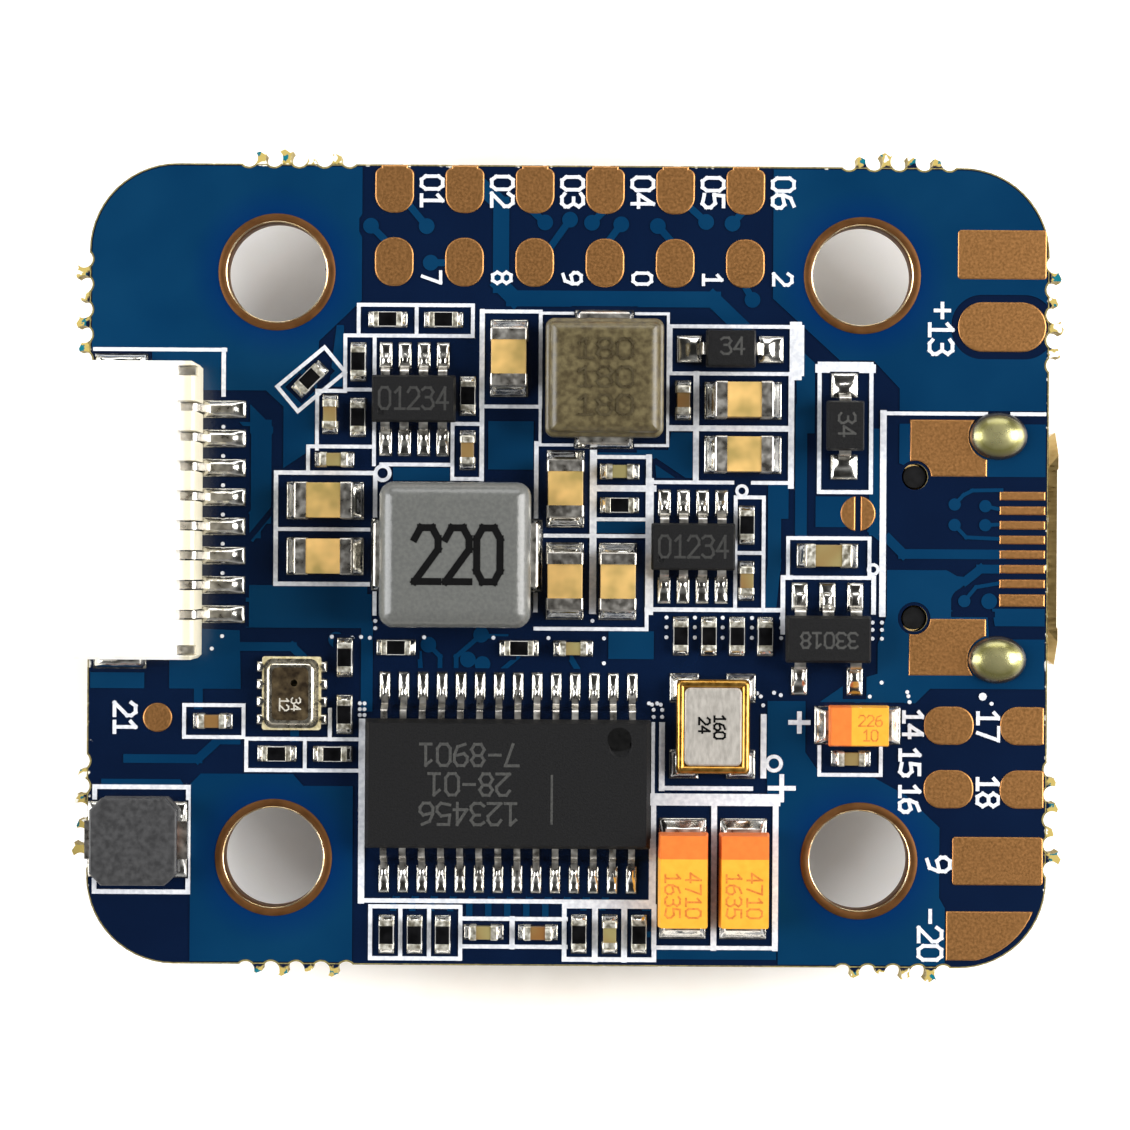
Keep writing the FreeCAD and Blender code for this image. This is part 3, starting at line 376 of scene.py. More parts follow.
def sheet(name, fills, cuts, low, high, within=None):
    """A thin flat piece: the union of some outlines less others, in millimetres, between two heights."""
    corners = []
    loops = []
    for outline in fills + cuts + ([within] if within else []):
        start = len(corners)
        corners.extend(Vector(point) for point in outline)
        loops.extend((start + step, start + (step + 1) % len(outline)) for step in range(len(outline)))
    points, edges, faces, _, _, _ = delaunay_2d_cdt(corners, loops, [], 0, 1e-5)
    wanted = with_limits(fills)
    unwanted = with_limits(cuts)
    limits = with_limits([within] if within else [])
    mesh = bmesh.new()
    tops = [mesh.verts.new((point.x * MM, point.y * MM, high)) for point in points]
    for face in faces:
        middle = sum((points[index] for index in face), Vector((0, 0))) / len(face)
        held = within is None or covers(limits, middle)
        if held and covers(wanted, middle) and not covers(unwanted, middle):
            mesh.faces.new([tops[index] for index in face])
    bmesh.ops.delete(mesh, geom=[vertex for vertex in mesh.verts if not vertex.link_faces], context="VERTS")
    bmesh.ops.dissolve_limit(mesh, angle_limit=0.01, verts=mesh.verts, edges=mesh.edges)
    upper_faces = list(mesh.faces)
    below = {vertex: mesh.verts.new((vertex.co.x, vertex.co.y, low)) for vertex in list(mesh.verts)}
    add_walls(mesh, below)
    for face in upper_faces:
        mesh.faces.new([below[vertex] for vertex in list(face.verts)[::-1]])
    bmesh.ops.recalc_face_normals(mesh, faces=mesh.faces)
    return piece(name, mesh)


def piece(name, mesh, smooth=False):
    """Turns mesh data into an object that rides on the board."""
    data = bpy.data.meshes.new(name)
    mesh.to_mesh(data)
    mesh.free()
    made = bpy.data.objects.new(name, data)
    bpy.context.scene.collection.objects.link(made)
    for polygon in data.polygons:
        polygon.use_smooth = smooth
    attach(made, "board")
    return made


def dress(made, material):
    made.data.materials.append(material)


def grown_rectangle(points, margin):
    centre, first, second, level, side = rectangle_of(points)
    first = first * (1 + margin * MM / first.length)
    second = second * (1 + margin * MM / second.length)
    corners = (centre - first - second, centre + first - second,
               centre + first + second, centre - first + second)
    return [(corner.x / MM, corner.y / MM) for corner in corners]


COPPER = 0.025
BITE_PITCH = 0.86
BITE_CLEARANCE = 0.37
lands = island_points("component_lands")
upper_lands = [points for points in lands if points[0].z > TOP / 2]
lower_lands = [points for points in lands if points[0].z < TOP / 2]
RIM_OUTER = 0.01
RIM_INNER = 0.045
COPPER_SETBACK = 0.09


def board_edge(inset):
    """The board's outline without its tabs, drawn in by a little, in millimetres."""
    return rounded_rectangle(-16.4 + inset, 16.4 - inset, -13.65 + inset, 13.7 - inset, 3.0 - inset)


BOARD_INSIDE = board_edge(COPPER_SETBACK)

pours = [
    [(-17, 14), (-7.1, 14), (-7.1, 12.0), (-7.2, 11.85), (-7.2, 11.4), (-7.1, 11.2), (-7.1, 9.05),
     (-8.55, 7.65), (-8.7, 4.0), (-9.75, 3.3), (-9.75, 5.4), (-10.35, 5.95), (-12.6, 5.95), (-17, 6.6)],
    [(-16.3, -3.2), (-14.45, -3.2), (-14.45, -4.25), (-16.3, -4.25)],
    [(-13.6, -3.2), (-12.6, -2.2), (-11.2, -2.25), (-11.15, -4.25), (-13.6, -4.25)],
    [(-10.9, -0.7), (-6.7, -0.7), (-6.7, -2.15), (-11.0, -2.15), (-11.0, -0.8)],
    [(-12.5, -7.15), (-9.35, -7.15), (-9.0, -7.55), (-7.3, -7.55), (-7.3, -13.6), (-12.85, -13.6),
     (-12.85, -7.5)],
    [(-15.9, -7.35), (-13.2, -7.35), (-13.0, -7.65), (-15.9, -7.65)],
    [(6.85, -4.55), (8.15, -4.55), (8.15, -6.3), (8.6, -6.95), (10.5, -7.15), (11.6, -7.75),
     (12.75, -8.85), (12.75, -11.25), (12.95, -11.6), (12.95, -13.6), (7.25, -13.6), (7.2, -8.3),
     (6.85, -7.8)],
    [(10.9, -0.05), (12.95, -0.05), (13.3, -0.25), (13.85, -0.3), (13.3, -0.75), (13.1, -1.0),
     (13.1, -1.4), (13.45, -1.65), (14.35, -1.65), (14.4, -2.4), (16.3, -2.4), (16.3, -4.1),
     (12.4, -4.1), (11.9, -4.6), (8.6, -4.6), (9.6, -3.9), (10.6, -3.6), (10.6, -2.6), (10.9, -1.6)],
    [(14.5, -1.35), (16.3, -1.35), (16.3, -1.95), (14.6, -1.95)],
    [(6.95, 14), (17, 14), (17, 5.4), (11.3, 5.4), (11.3, 6.15), (10.4, 7.1), (9.25, 7.1),
     (6.95, 9.2)],
    [(11.3, 4.95), (16.3, 4.95), (16.3, 3.15), (12.3, 3.15), (11.3, 3.6)],
    [(-2.75, 4.95), (-1.2, 4.95), (-1.2, 3.3), (-2.75, 3.3)],
    [(-6.0, 3.35), (-4.05, 3.35), (-4.05, 2.9), (-6.0, 2.9)],
    [(0.9, 4.0), (3.4, 4.0), (3.5, 4.6), (4.3, 4.6), (4.3, 3.05), (3.0, 3.05), (2.95, 3.7), (0.9, 3.7)],
    [(0.95, 1.55), (2.75, 1.55), (2.75, 1.15), (0.95, 1.15)],
    [(1.4, -2.2), (2.95, -2.2), (2.95, -3.15), (1.4, -3.15)],
    [(8.45, 2.45), (9.75, 2.45), (9.75, 1.4), (8.45, 1.4)],
    [(-7.95, 8.2), (-7.7, 8.2), (-7.7, 6.1), (-8.2, 6.1)],
    [(7.75, 7.6), (8.4, 7.0), (8.4, 4.6), (7.8, 4.6)],
    [(2.6, -11.6), (3.0, -11.6), (3.0, -13.4), (7.2, -13.4), (7.2, -13.05), (2.6, -13.05)],
]
tracks = [
    (0.55, [(-2.9, 12.85), (-2.35, 12.35), (-2.35, 9.6), (-1.9, 9.15), (4.9, 9.15), (5.9, 8.2)]),
    (0.7, [(-11.4, 1.25), (-10.85, 1.25), (-10.5, 1.75), (-10.5, 4.6), (-10.9, 5.0)]),
    (0.33, [(14.8, 0.5), (11.45, 0.5), (10.95, 1.0)]),
    (0.3, [(14.8, 0.0), (14.1, 0.0), (13.6, -0.4)]),
    (0.3, [(-15.0, -6.65), (-12.6, -6.65), (-11.9, -6.0), (-11.3, -6.0)]),
    (0.3, [(-12.6, -4.2), (-12.6, -5.0)]),
    (0.4, [(-6.85, -2.1), (-6.85, -4.8)]),
    (0.3, [(-12.0, -2.8), (-9.4, -2.8), (-8.8, -3.4)]),
    (0.16, [(-4.75, -2.7), (-4.35, -3.1), (-4.35, -3.7)]),
    (0.16, [(-5.05, -3.0), (-5.0, -3.7)]),
    (0.16, [(-2.1, -2.4), (-3.0, -2.4), (-3.8, -3.1), (-3.8, -3.7)]),
    (0.16, [(-1.7, -3.1), (-2.4, -3.7)]),
    (0.2, [(0.1, -3.1), (0.4, -3.6)]),
    (0.45, [(7.05, 2.7), (7.05, 0.1), (6.9, -1.4)]),
    (0.4, [(7.95, 5.4), (7.95, 1.1)]),
    (0.25, [(7.4, 2.8), (7.4, 1.8)]),
    (0.35, [(10.45, 4.6), (10.45, 1.3), (10.7, 1.1)]),
    (0.3, [(-9.3, -5.9), (-9.3, -5.4)]),
    (0.2, [(2.9, 3.9), (3.9, 3.1)]),
]
for number in range(12):
    start = -6.1 + 0.65 * number
    tracks.append((0.22, [(start + 0.5, -11.0), (start + 0.2, -11.5), (start + 0.2, -11.9)]))
vias = [
    (-6.8, 11.6, -6.3, 11.1), (-4.9, 11.6, -5.4, 12.2), (-4.75, 10.35, -4.1, 10.35),
    (-0.85, 11.75, -1.25, 12.1), (0.0, 11.85, -0.6, 11.0), (0.75, 11.75, 1.15, 12.15),
    (1.75, 11.7, 1.3, 11.1), (3.0, 11.65, 3.5, 11.1), (4.65, 11.8, 4.2, 12.2),
    (5.55, 11.75, 5.9, 12.15), (6.25, 9.15, 6.0, 9.6), (13.2, 2.2, 13.3, 2.3),
    (13.2, 1.5, 13.3, 1.4), (14.25, 2.15, 14.25, 2.1), (14.25, 1.5, 14.25, 1.55),
    (13.55, -1.1, 13.6, -1.05), (-4.75, -2.7, -4.7, -2.75), (-3.4, -3.2, -3.4, -3.25),
    (-2.9, -3.35, -2.9, -3.4), (-2.95, -2.35, -2.9, -2.4), (-13.99, -5.24, -13.99, -5.1),
    (14.4, -1.1, 14.45, -1.1), (-7.9, -2.55, -7.85, -2.6),
]
copper_fills = list(pours)
for width, points in tracks:
    copper_fills.extend(stroke(points, width))
for x, y, to_x, to_y in vias:
    copper_fills.append(circle_points(x, y, 0.27))
    copper_fills.append(bar((x, y), (to_x, to_y), 0.24))
gaps = [grown_rectangle(points, 0.13) for points in upper_lands]
gaps.append(rounded_rectangle(13.05, 16.6, 7.17, 9.37, 1.05))
gaps.extend([
    bar((-10.0, 5.1), (-10.0, 2.0), 0.2),
    bar((-10.0, 2.0), (-10.9, 0.9), 0.2),
    bar((3.0, 3.6), (3.9, 3.0), 0.2),
    bar((13.2, -1.55), (14.5, -1.55), 0.2),
])
for x, y, _, _ in vias[11:16]:
    gaps.append(circle_points(x, y, 0.45))
gaps += stroke([(13.55, -1.1), (13.95, -0.62), (14.8, -0.47)], 0.34)
HOLE_PLACES = [(10 * across, 10 * up) for across in (-1, 1) for up in (-1, 1)]
for x, y in HOLE_PLACES:
    gaps.append(circle_points(x, y, 1.9, 64))
bites = [(first + BITE_PITCH * number, edge) for number in range(5)
         for first, edge in ((-10.98, 13.9), (9.52, 13.9), (-10.93, -13.85), (9.47, -13.85))]
bites += [(edge, first + BITE_PITCH * number) for number in range(5)
          for first, edge in ((6.97, -16.6), (-10.18, -16.6), (6.97, 16.6), (-10.28, 16.6))]
gaps.extend(circle_points(x, y, BITE_CLEARANCE) for x, y in bites)
socket_low, socket_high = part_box("usb_shell")
PEG_X = socket_low.x / MM + 0.44
PEG_REACH = 2.42
SOCKET_MIDDLE = (socket_low.y + socket_high.y) / 2 / MM
for side in (-1, 1):
    gaps.append(circle_points(PEG_X, SOCKET_MIDDLE + side * PEG_REACH, 0.56))
kept = [circle_points(x, y, 0.21) for x, y, _, _ in vias[11:16]]
for line in ([(13.2, 2.2), (13.5, 2.52), (13.8, 2.68), (14.8, 2.7)],
             [(13.2, 1.5), (13.6, 1.08), (14.8, 1.03)], [(14.25, 2.15), (14.8, 2.03)],
             [(14.25, 1.5), (14.8, 1.53)], [(13.55, -1.1), (13.95, -0.62), (14.8, -0.47)]):
    kept.extend(joined_stroke(line, 0.13))
upper_copper = sheet("copper_under_mask_top", copper_fills, gaps, TOP, TOP + COPPER * MM, BOARD_INSIDE)
gap_vias = sheet("via_pads_under_mask_top", kept, [], TOP, TOP + COPPER * MM, BOARD_INSIDE)

# Mask over copper is a clear mid blue with a soft gloss, deeper where it pools at the holes.
over_copper, over_tree, over_shader = new_material("blue_solder_mask_over_copper", "#08304f", 0.2)
over_shader.inputs["IOR"].default_value = 1.5
over_ramp, _ = mottled(over_tree, over_shader, 4.0, ("#032d4e", "#043354"), (0.14, 0.22), 0.002)
place = add(over_tree, "TexCoord").outputs["Object"]
folded = add(over_tree, "VectorMath", {0: place}, operation="ABSOLUTE").outputs[0]
from_hole = add(over_tree, "VectorMath", {
    0: folded, 1: (10 * MM, 10 * MM, TOP)}, operation="DISTANCE").outputs["Value"]
near_hole = add(over_tree, "MapRange", {
    "Value": from_hole, "From Min": 2.0 * MM, "From Max": 3.0 * MM, "To Min": 0.7, "To Max": 0.0})
tinted = add(over_tree, "MixRGB", {
    "Fac": near_hole.outputs["Result"], "Color1": over_ramp.outputs["Color"],
    "Color2": linear("#002457")}).outputs[0]
over_tree.links.new(tinted, over_shader.inputs["Base Color"])
dress(upper_copper, over_copper)
dress(gap_vias, over_copper)
BITE_RADIUS = 0.302
BITE_RIM = 0.36
bitten = [circle_points(x, y, BITE_RADIUS, 32) for x, y in bites]
rim = sheet("bared_laminate_rim", [board_edge(RIM_OUTER)], [board_edge(RIM_INNER)] + bitten,
            TOP, TOP + 0.006 * MM)
bite_rims = sheet("bared_laminate_bites", [circle_points(x, y, BITE_RIM, 32) for x, y in bites], bitten,
                  TOP, TOP + 0.008 * MM, board_edge(0))
# Routed glass-epoxy is matt olive, with the cut yarns as paler flecks.
bared = clouded("milled_glass_epoxy", 0.12, ("#63582a", "#93854a"), (0.6, 0.8), 0.003)
dress(rim, bared)
dress(bite_rims, bared)


# Legend: white ink screened over the mask, as outlines round the parts, dots along their rows and
# numbers beside the pads. The ink lies over the copper's steps and stops short of the bare lands.
DIGITS = {
    "0": [[(0.15, 0), (0.45, 0), (0.6, 0.2), (0.6, 0.8), (0.45, 1), (0.15, 1), (0, 0.8), (0, 0.2),
           (0.15, 0)]],
    "1": [[(0.1, 0.78), (0.35, 1), (0.35, 0)], [(0.1, 0), (0.6, 0)]],
    "2": [[(0, 0.8), (0.15, 1), (0.45, 1), (0.6, 0.8), (0.6, 0.6), (0, 0), (0.6, 0)]],
    "3": [[(0, 0.9), (0.15, 1), (0.45, 1), (0.6, 0.8), (0.45, 0.55), (0.2, 0.55)],
          [(0.45, 0.55), (0.6, 0.3), (0.6, 0.15), (0.45, 0), (0.15, 0), (0, 0.12)]],
    "4": [[(0.45, 0), (0.45, 1), (0, 0.3), (0.6, 0.3)]],
    "5": [[(0.55, 1), (0.05, 1), (0, 0.55), (0.4, 0.6), (0.6, 0.4), (0.6, 0.18), (0.42, 0), (0, 0.08)]],
    "6": [[(0.5, 1), (0.15, 0.85), (0, 0.5), (0, 0.2), (0.15, 0), (0.45, 0), (0.6, 0.2), (0.6, 0.4),
           (0.45, 0.56), (0, 0.45)]],
    "7": [[(0, 1), (0.6, 1), (0.25, 0)]],
    "8": [[(0.15, 0.53), (0, 0.75), (0.15, 1), (0.45, 1), (0.6, 0.75), (0.45, 0.53), (0.15, 0.53),
           (0, 0.25), (0.15, 0), (0.45, 0), (0.6, 0.25), (0.45, 0.53)]],
    "9": [[(0.6, 0.55), (0.15, 0.44), (0, 0.6), (0, 0.8), (0.15, 1), (0.45, 1), (0.6, 0.8), (0.6, 0.5),
           (0.45, 0.12), (0.1, 0)]],
    "+": [[(0.3, 0.25), (0.3, 0.85)], [(0, 0.55), (0.6, 0.55)]],
    "-": [[(0.05, 0.5), (0.55, 0.5)]],
}


def figures(text, x, y, height, angle, width, slim=1.0):
    """Digits drawn as strokes, centred on a point and turned by an angle in degrees. A negative slim
    mirrors them, to be read from below."""
    turn = Matrix.Rotation(math.radians(angle), 2)
    start = -0.4 * len(text) + 0.1
    shapes = []
    for number, digit in enumerate(text):
        for line in DIGITS[digit]:
            placed = []
            for across, up in line:
                forward = (across + start + 0.8 * number) * height * slim
                spot = turn @ Vector((forward, (up - 0.5) * height))
                placed.append((x + spot.x, y + spot.y))
            shapes.extend(joined_stroke(placed, width))
    return shapes


def dots(points, radius=0.07):
    return [circle_points(x, y, radius, 8) for x, y in points]


def hoop(x, y, radius, width):
    return joined_stroke(circle_points(x, y, radius, 16) + circle_points(x, y, radius, 16)[:1], width)


def tilted_frame(x, y, length, height, angle, width):
    turn = Matrix.Rotation(math.radians(angle), 2)
    corners = [(-length / 2, -height / 2), (length / 2, -height / 2), (length / 2, height / 2),
               (-length / 2, height / 2)]
    spots = [turn @ Vector(corner) + Vector((x, y)) for corner in corners]
    loop = [tuple(spot) for spot in spots + spots[:1]]
    return joined_stroke(loop, width)


legend_lines = [
    (0.13, [(-16.2, 7.33), (-11.75, 7.33)]),
    (0.15, [(-11.8, 7.33), (-11.8, 5.8)]),
    (0.13, [(-7.65, 6.0), (-7.65, 7.85), (-7.2, 7.85)]),
    (0.13, [(-7.65, 6.0), (-6.7, 6.0)]),
    (0.13, [(-6.65, 7.8), (-6.65, 3.45)]),
    (0.13, [(-5.22, 7.85), (-5.22, 8.9)]),
    (0.13, [(-8.6, 3.5), (-8.6, 5.95), (-7.65, 5.95)]),
    (0.13, [(-8.9, 3.15), (-8.9, 4.05), (-6.7, 4.05)]),
    (0.13, [(-6.4, 3.45), (-3.97, 3.45), (-3.97, 4.85), (-2.97, 4.85)]),
    (0.13, [(-3.97, 3.45), (-3.97, 2.97), (-2.97, 2.97)]),
    (0.16, [(-2.97, 2.97), (-2.97, 8.7)]),
    (0.13, [(-9.99, 1.22), (-6.6, 1.22)]),
    (0.14, [(-6.6, -0.7), (-6.6, -1.65)]),
    (0.15, [(-1.1, 4.2), (-1.1, -1.5)]),
    (0.13, [(-1.1, 1.05), (2.75, 1.05)]),
    (0.24, [(0.85, 4.15), (0.85, -1.5)]),
    (0.13, [(1.0, 3.75), (2.75, 3.75)]),
    (0.2, [(2.75, 3.75), (2.75, 2.6)]),
    (0.22, [(1.0, 2.68), (2.9, 2.68)]),
    (0.13, [(1.0, 1.62), (2.7, 1.62)]),
    (0.28, [(2.78, 2.9), (2.78, -1.5)]),
    (0.13, [(2.8, 2.9), (5.6, 2.9)]),
    (0.13, [(6.3, 2.9), (7.6, 2.9)]),
    (0.2, [(4.35, 6.6), (4.35, 2.95)]),
    (0.2, [(3.45, 4.75), (7.6, 4.75)]),
    (0.2, [(7.6, 6.6), (7.6, 2.8)]),
    (0.13, [(5.72, 0.5), (6.68, 0.5)]),
    (0.15, [(2.7, -1.45), (7.35, -1.45)]),
    (0.13, [(-1.1, -2.13), (2.7, -2.13), (2.7, -1.45)]),
    (0.42, [(7.74, 6.62), (7.74, 8.2)]),
    (0.3, [(8.56, 6.82), (10.33, 6.82)]),
    (0.16, [(7.6, -0.33), (7.35, -0.33), (7.35, -2.2)]),
    (0.16, [(10.45, -0.33), (10.45, -1.5)]),
    (0.22, [(10.75, 5.3), (10.75, -1.55)]),
    (0.13, [(10.75, 5.3), (14.25, 5.3)]),
    (0.13, [(15.15, 5.3), (16.3, 5.3)]),
    (0.22, [(-7.0, -5.35), (-7.0, -11.45)]),
    (0.15, [(-7.0, -11.45), (2.95, -11.45)]),
    (0.12, [(2.95, -5.36), (2.95, -9.4)]),
    (0.24, [(2.95, -9.4), (2.95, -11.45)]),
    (0.2, [(3.25, -5.4), (3.25, -7.55)]),
    (0.2, [(6.72, -5.1), (6.72, -7.1)]),
    (0.15, [(3.25, -7.55), (6.3, -7.55)]),
    (0.42, [(3.0, -7.94), (7.1, -7.94)]),
    (0.2, [(5.05, -8.0), (5.05, -13.0)]),
    (0.2, [(7.15, -8.0), (7.15, -13.0)]),
    (0.14, [(3.0, -8.0), (3.0, -13.0), (7.15, -13.0)]),
    (0.13, [(-8.95, -5.95), (-8.95, -7.02)]),
    (0.14, [(-8.1, -4.95), (-8.1, -5.95)]),
    (0.14, [(-5.65, -11.65), (-5.65, -13.42)]),
    (0.14, [(-4.67, -11.65), (-4.67, -13.42)]),
    (0.14, [(-3.6, -12.05), (0.0, -12.05)]),
    (0.14, [(-3.6, -13.0), (0.0, -13.0)]),
    (0.18, [(-1.83, -12.05), (-1.83, -13.0)]),
    (0.2, [(1.0, -11.6), (1.0, -13.42)]),
    (0.2, [(2.0, -11.6), (2.0, -13.42)]),
]
legend_frames = [
    (-7.2, -3.3, 7.85, 8.9, 0.13), (-9.99, -6.6, -0.65, 3.15, 0.15), (-3.0, -0.98, 5.45, 8.7, 0.13),
    (-0.98, 3.38, 4.15, 8.65, 0.1), (3.46, 7.96, 6.62, 8.23, 0.13), (8.56, 10.33, 2.6, 6.98, 0.14),
    (7.52, 10.3, -0.33, 1.02, 0.13), (5.72, 6.68, -1.45, 2.4, 0.13), (8.63, 10.73, -7.06, -5.98, 0.13),
    (-10.95, -7.05, -7.02, -5.95, 0.13), (-13.08, -11.05, -5.9, -4.81, 0.13),
    (-16.12, -12.92, -11.2, -7.62, 0.16), (-6.68, -3.6, -13.42, -11.65, 0.14),
    (-0.05, 3.02, -13.42, -11.6, 0.16),
]
dot_places = [(-11.8, 4.7 - step) for step in range(6)] + [(-11.8, -2.45), (-12.15, -2.88)]
dot_places += [(x, y) for x in (3.38, 4.35, 5.3, 6.3, 7.3) for y in (-1.72, -2.05, -2.4)]
dot_places += [(x, y) for x in (10.42, 10.74) for y in (-1.85, -2.1, -2.4)]
dot_places += [(x, -2.45) for x in (-8.05, -7.05, -4.9, -2.53, -0.65, 1.25)]
dot_places += [(0.85, -1.85), (2.7, -1.85), (-6.57, -1.9), (-6.57, -2.15), (2.9, -4.7), (3.2, -4.7),
               (6.7, -4.7), (1.25, -3.3), (10.74, -3.9)]
dot_places += [(x, y) for x in (-7.08, -6.92) for y in (-4.72, -4.92, -5.12)]
dot_places += [(x, y) for x in (2.96, 3.25) for y in (-4.88, -5.12)] + [(2.8, -4.66), (3.08, -4.66)]
dot_places += [(-7.35, -2.48), (-6.75, -2.48), (6.49, -4.29), (6.62, -4.4), (7.07, -4.27), (7.3, -4.35),
               (10.03, -4.27), (10.34, -4.38), (11.62, -4.22), (11.66, -4.36), (11.7, -4.56), (14.5, -4.6)]
legend = [circle_points(14.2, -4.36, 0.14, 8)]
for width, points in legend_lines:
    legend.extend(joined_stroke(points, width))
for left, right, low, high, width in legend_frames:
    legend.extend(joined_stroke([(left, low), (right, low), (right, high), (left, high), (left, low)],
                                width))
legend.extend(dots(dot_places))
legend.extend(hoop(-6.35, 3.15, 0.24, 0.12))
legend.extend(hoop(5.93, 2.62, 0.17, 0.1))
legend.extend(hoop(10.43, -0.04, 0.16, 0.1))
legend.extend(hoop(7.08, -6.69, 0.24, 0.12))
legend.extend(tilted_frame(-8.81, 6.34, 2.1, 1.1, 40, 0.13))
for x, y, reach in ((7.35, -7.53, 0.4), (7.94, -5.28, 0.3)):
    legend.extend([bar((x - reach, y), (x + reach, y), 0.16), bar((x, y - reach), (x, y + reach), 0.16)])
for number in range(6):
    legend.extend(figures(f"{number + 1:02d}", -4.72 + 2.4 * number, 12.8, 0.72, -90, 0.12))
    legend.extend(figures(str((number + 7) % 10), -4.72 + 2.4 * number, 9.85, 0.62, -90, 0.11))
for text, x, y, size in (("+13", 12.7, 8.2, 0.78), ("14", 11.84, -5.3, 0.66),
                         ("15", 11.72, -6.6, 0.66), ("16", 11.72, -7.85, 0.66), ("17", 14.4, -5.35, 0.72),
                         ("18", 14.4, -7.6, 0.72), ("9", 12.72, -10.1, 0.78), ("-20", 12.45, -12.5, 0.78),
                         ("21", -15.1, -5.25, 0.72)):
    legend.extend(figures(text, x, y, size, -90, 0.125))
bare_metal = [grown_rectangle(points, 0.04) for points in upper_lands]
for x, y in HOLE_PLACES:
    bare_metal.append(circle_points(x, y, 2.1, 48))
for name in ("signal_pads", "power_pads", "video_pads", "spare_usb_pads", "test_pads"):
    for points in island_points(name):
        across = [point.x / MM for point in points]
        up = [point.y / MM for point in points]
        bare_metal.append([(min(across), min(up)), (max(across), min(up)),
                           (max(across), max(up)), (min(across), max(up))])
INK_TOP = 0.045
upper_legend = sheet("legend_ink_top", legend, bare_metal, TOP, TOP + INK_TOP * MM, BOARD_INSIDE)
# Screened ink is chalky white and thins in patches where the mesh lifted.
ink = clouded("white_screened_ink", 0.16, ("#c9ccd3", "#e4e6ea"), (0.55, 0.7), 0.006)
dress(upper_legend, ink)


# Plated holes: copper rings joined by a plated barrel, gold flashed, with a rounded mouth where the
# drill's burr was brushed away. The mouth catches the side light as a bright thread.
def turned_piece(name, profile, places, steps=96):
    """A ring turned from (radius, height) points in millimetres, repeated at each place."""
    mesh = bmesh.new()
    for x, y in places:
        rows = []
        for radius, height in profile:
            rows.append([mesh.verts.new(((x + radius * math.cos(2 * math.pi * step / steps)) * MM,
                                         (y + radius * math.sin(2 * math.pi * step / steps)) * MM,
                                         height * MM)) for step in range(steps)])
        for row, following in zip(rows, rows[1:] + rows[:1]):
            for step in range(steps):
                after = (step + 1) % steps
                mesh.faces.new((row[step], row[after], following[after], following[step]))
    bmesh.ops.recalc_face_normals(mesh, faces=mesh.faces)
    return piece(name, mesh, smooth=True)


plating_low, plating_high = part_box("mounting_hole_plating")
RING_OUTER = plating_high.x / MM - 10
BARREL_INNER = 1.7
top_face = plating_high.z / MM
low_face = plating_low.z / MM
profile = [(RING_OUTER, TOP / MM), (RING_OUTER, top_face - 0.015), (RING_OUTER - 0.015, top_face),
           (BARREL_INNER + 0.05, top_face), (BARREL_INNER + 0.02, top_face - 0.03), (BARREL_INNER, TOP / MM),
           (BARREL_INNER, 0.0), (BARREL_INNER + 0.02, low_face + 0.03), (BARREL_INNER + 0.05, low_face),
           (RING_OUTER - 0.015, low_face), (RING_OUTER, low_face + 0.015), (RING_OUTER, 0.0),
           (BARREL_INNER + 0.06, 0.0), (BARREL_INNER + 0.06, TOP / MM)]
barrels = turned_piece("plated_hole_barrels", profile, HOLE_PLACES)
# Thin gold over brushed copper, handled brown: dull, with hardly a highlight.
ring_gold_skin = clouded("gold_over_brushed_copper", 0.5, ("#5d3a18", "#6a4521"),
                         (0.5, 0.6), 0.002, metallic=0.75)
dress(barrels, ring_gold_skin)
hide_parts("mounting_hole_plating")
finish_node(ring_gold_skin, "mounting_hole_plating")
BEAD = 0.024
beads = []
for ending, level in (("top", top_face - 0.01), ("under", low_face + 0.01)):
    bead = circle_points(BARREL_INNER + BEAD, level, BEAD, 10)
    beads.append(turned_piece("burnished_hole_mouths_" + ending, bead, HOLE_PLACES))
# Gold rubbed smooth by screws: a bright thread where it turns to the side lights.
burnish = clouded("burnished_gold_lip", 0.3, ("#ffdda0", "#fff0cc"), (0.08, 0.18), 0.006, metallic=1.0)
for bead in beads:
    dress(bead, burnish)


# Solder pads: gold-flashed copper left bare by the mask, grainy, with softly etched edges.
def eased_copy(name, node, ease_mm):
    """The CAD pads with their upper edges rounded over, as the etching leaves them."""
    mesh = bmesh.new()
    mesh.from_mesh(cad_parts[node].data)
    bmesh.ops.remove_doubles(mesh, verts=mesh.verts, dist=1e-7)
    bmesh.ops.dissolve_limit(mesh, angle_limit=0.01, verts=mesh.verts, edges=mesh.edges)
    rim = []
    for edge in mesh.edges:
        if len(edge.link_faces) == 2:
            tilts = sorted(abs(face.normal.z) for face in edge.link_faces)
            upper = min(vertex.co.z for vertex in edge.verts) > TOP + 0.02 * MM
            if upper and tilts[0] < 0.1 and tilts[1] > 0.9:
                rim.append(edge)
    bmesh.ops.bevel(mesh, geom=rim, offset=ease_mm * MM, segments=3, profile=0.5, affect="EDGES")
    made = piece(name, mesh)
    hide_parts(node)
    return made


# Immersion gold over etched copper has a fine, even grain and a satin glow.
gold = clouded("grainy_gold_flash", 0.09, ("#c68e54", "#d0965c"), (0.36, 0.44), 0.0015, metallic=1.0)
for node in ("signal_pads", "power_pads", "video_pads", "spare_usb_pads", "test_pads"):
    dress(eased_copy("eased_" + node, node, 0.045), gold)
    finish_node(gold, node)


# Solder: a fillet on every land, high where it climbs the part's terminal and thin at the land's
# edge. It froze bright, with a slightly wrinkled skin.
def low_points(name):
    """For each terminal, the points that stand close over the board, on whichever face."""
    found = []
    for points in island_points(name):
        upper = points[0].z > TOP / 2
        level = TOP if upper else UNDER
        near = [point for point in points if abs(point.z - level) < 0.42 * MM]
        if near:
            found.append((upper, sum(near, Vector()) / len(near), near,
                          max(abs(point.z - level) for point in points)))
    return found


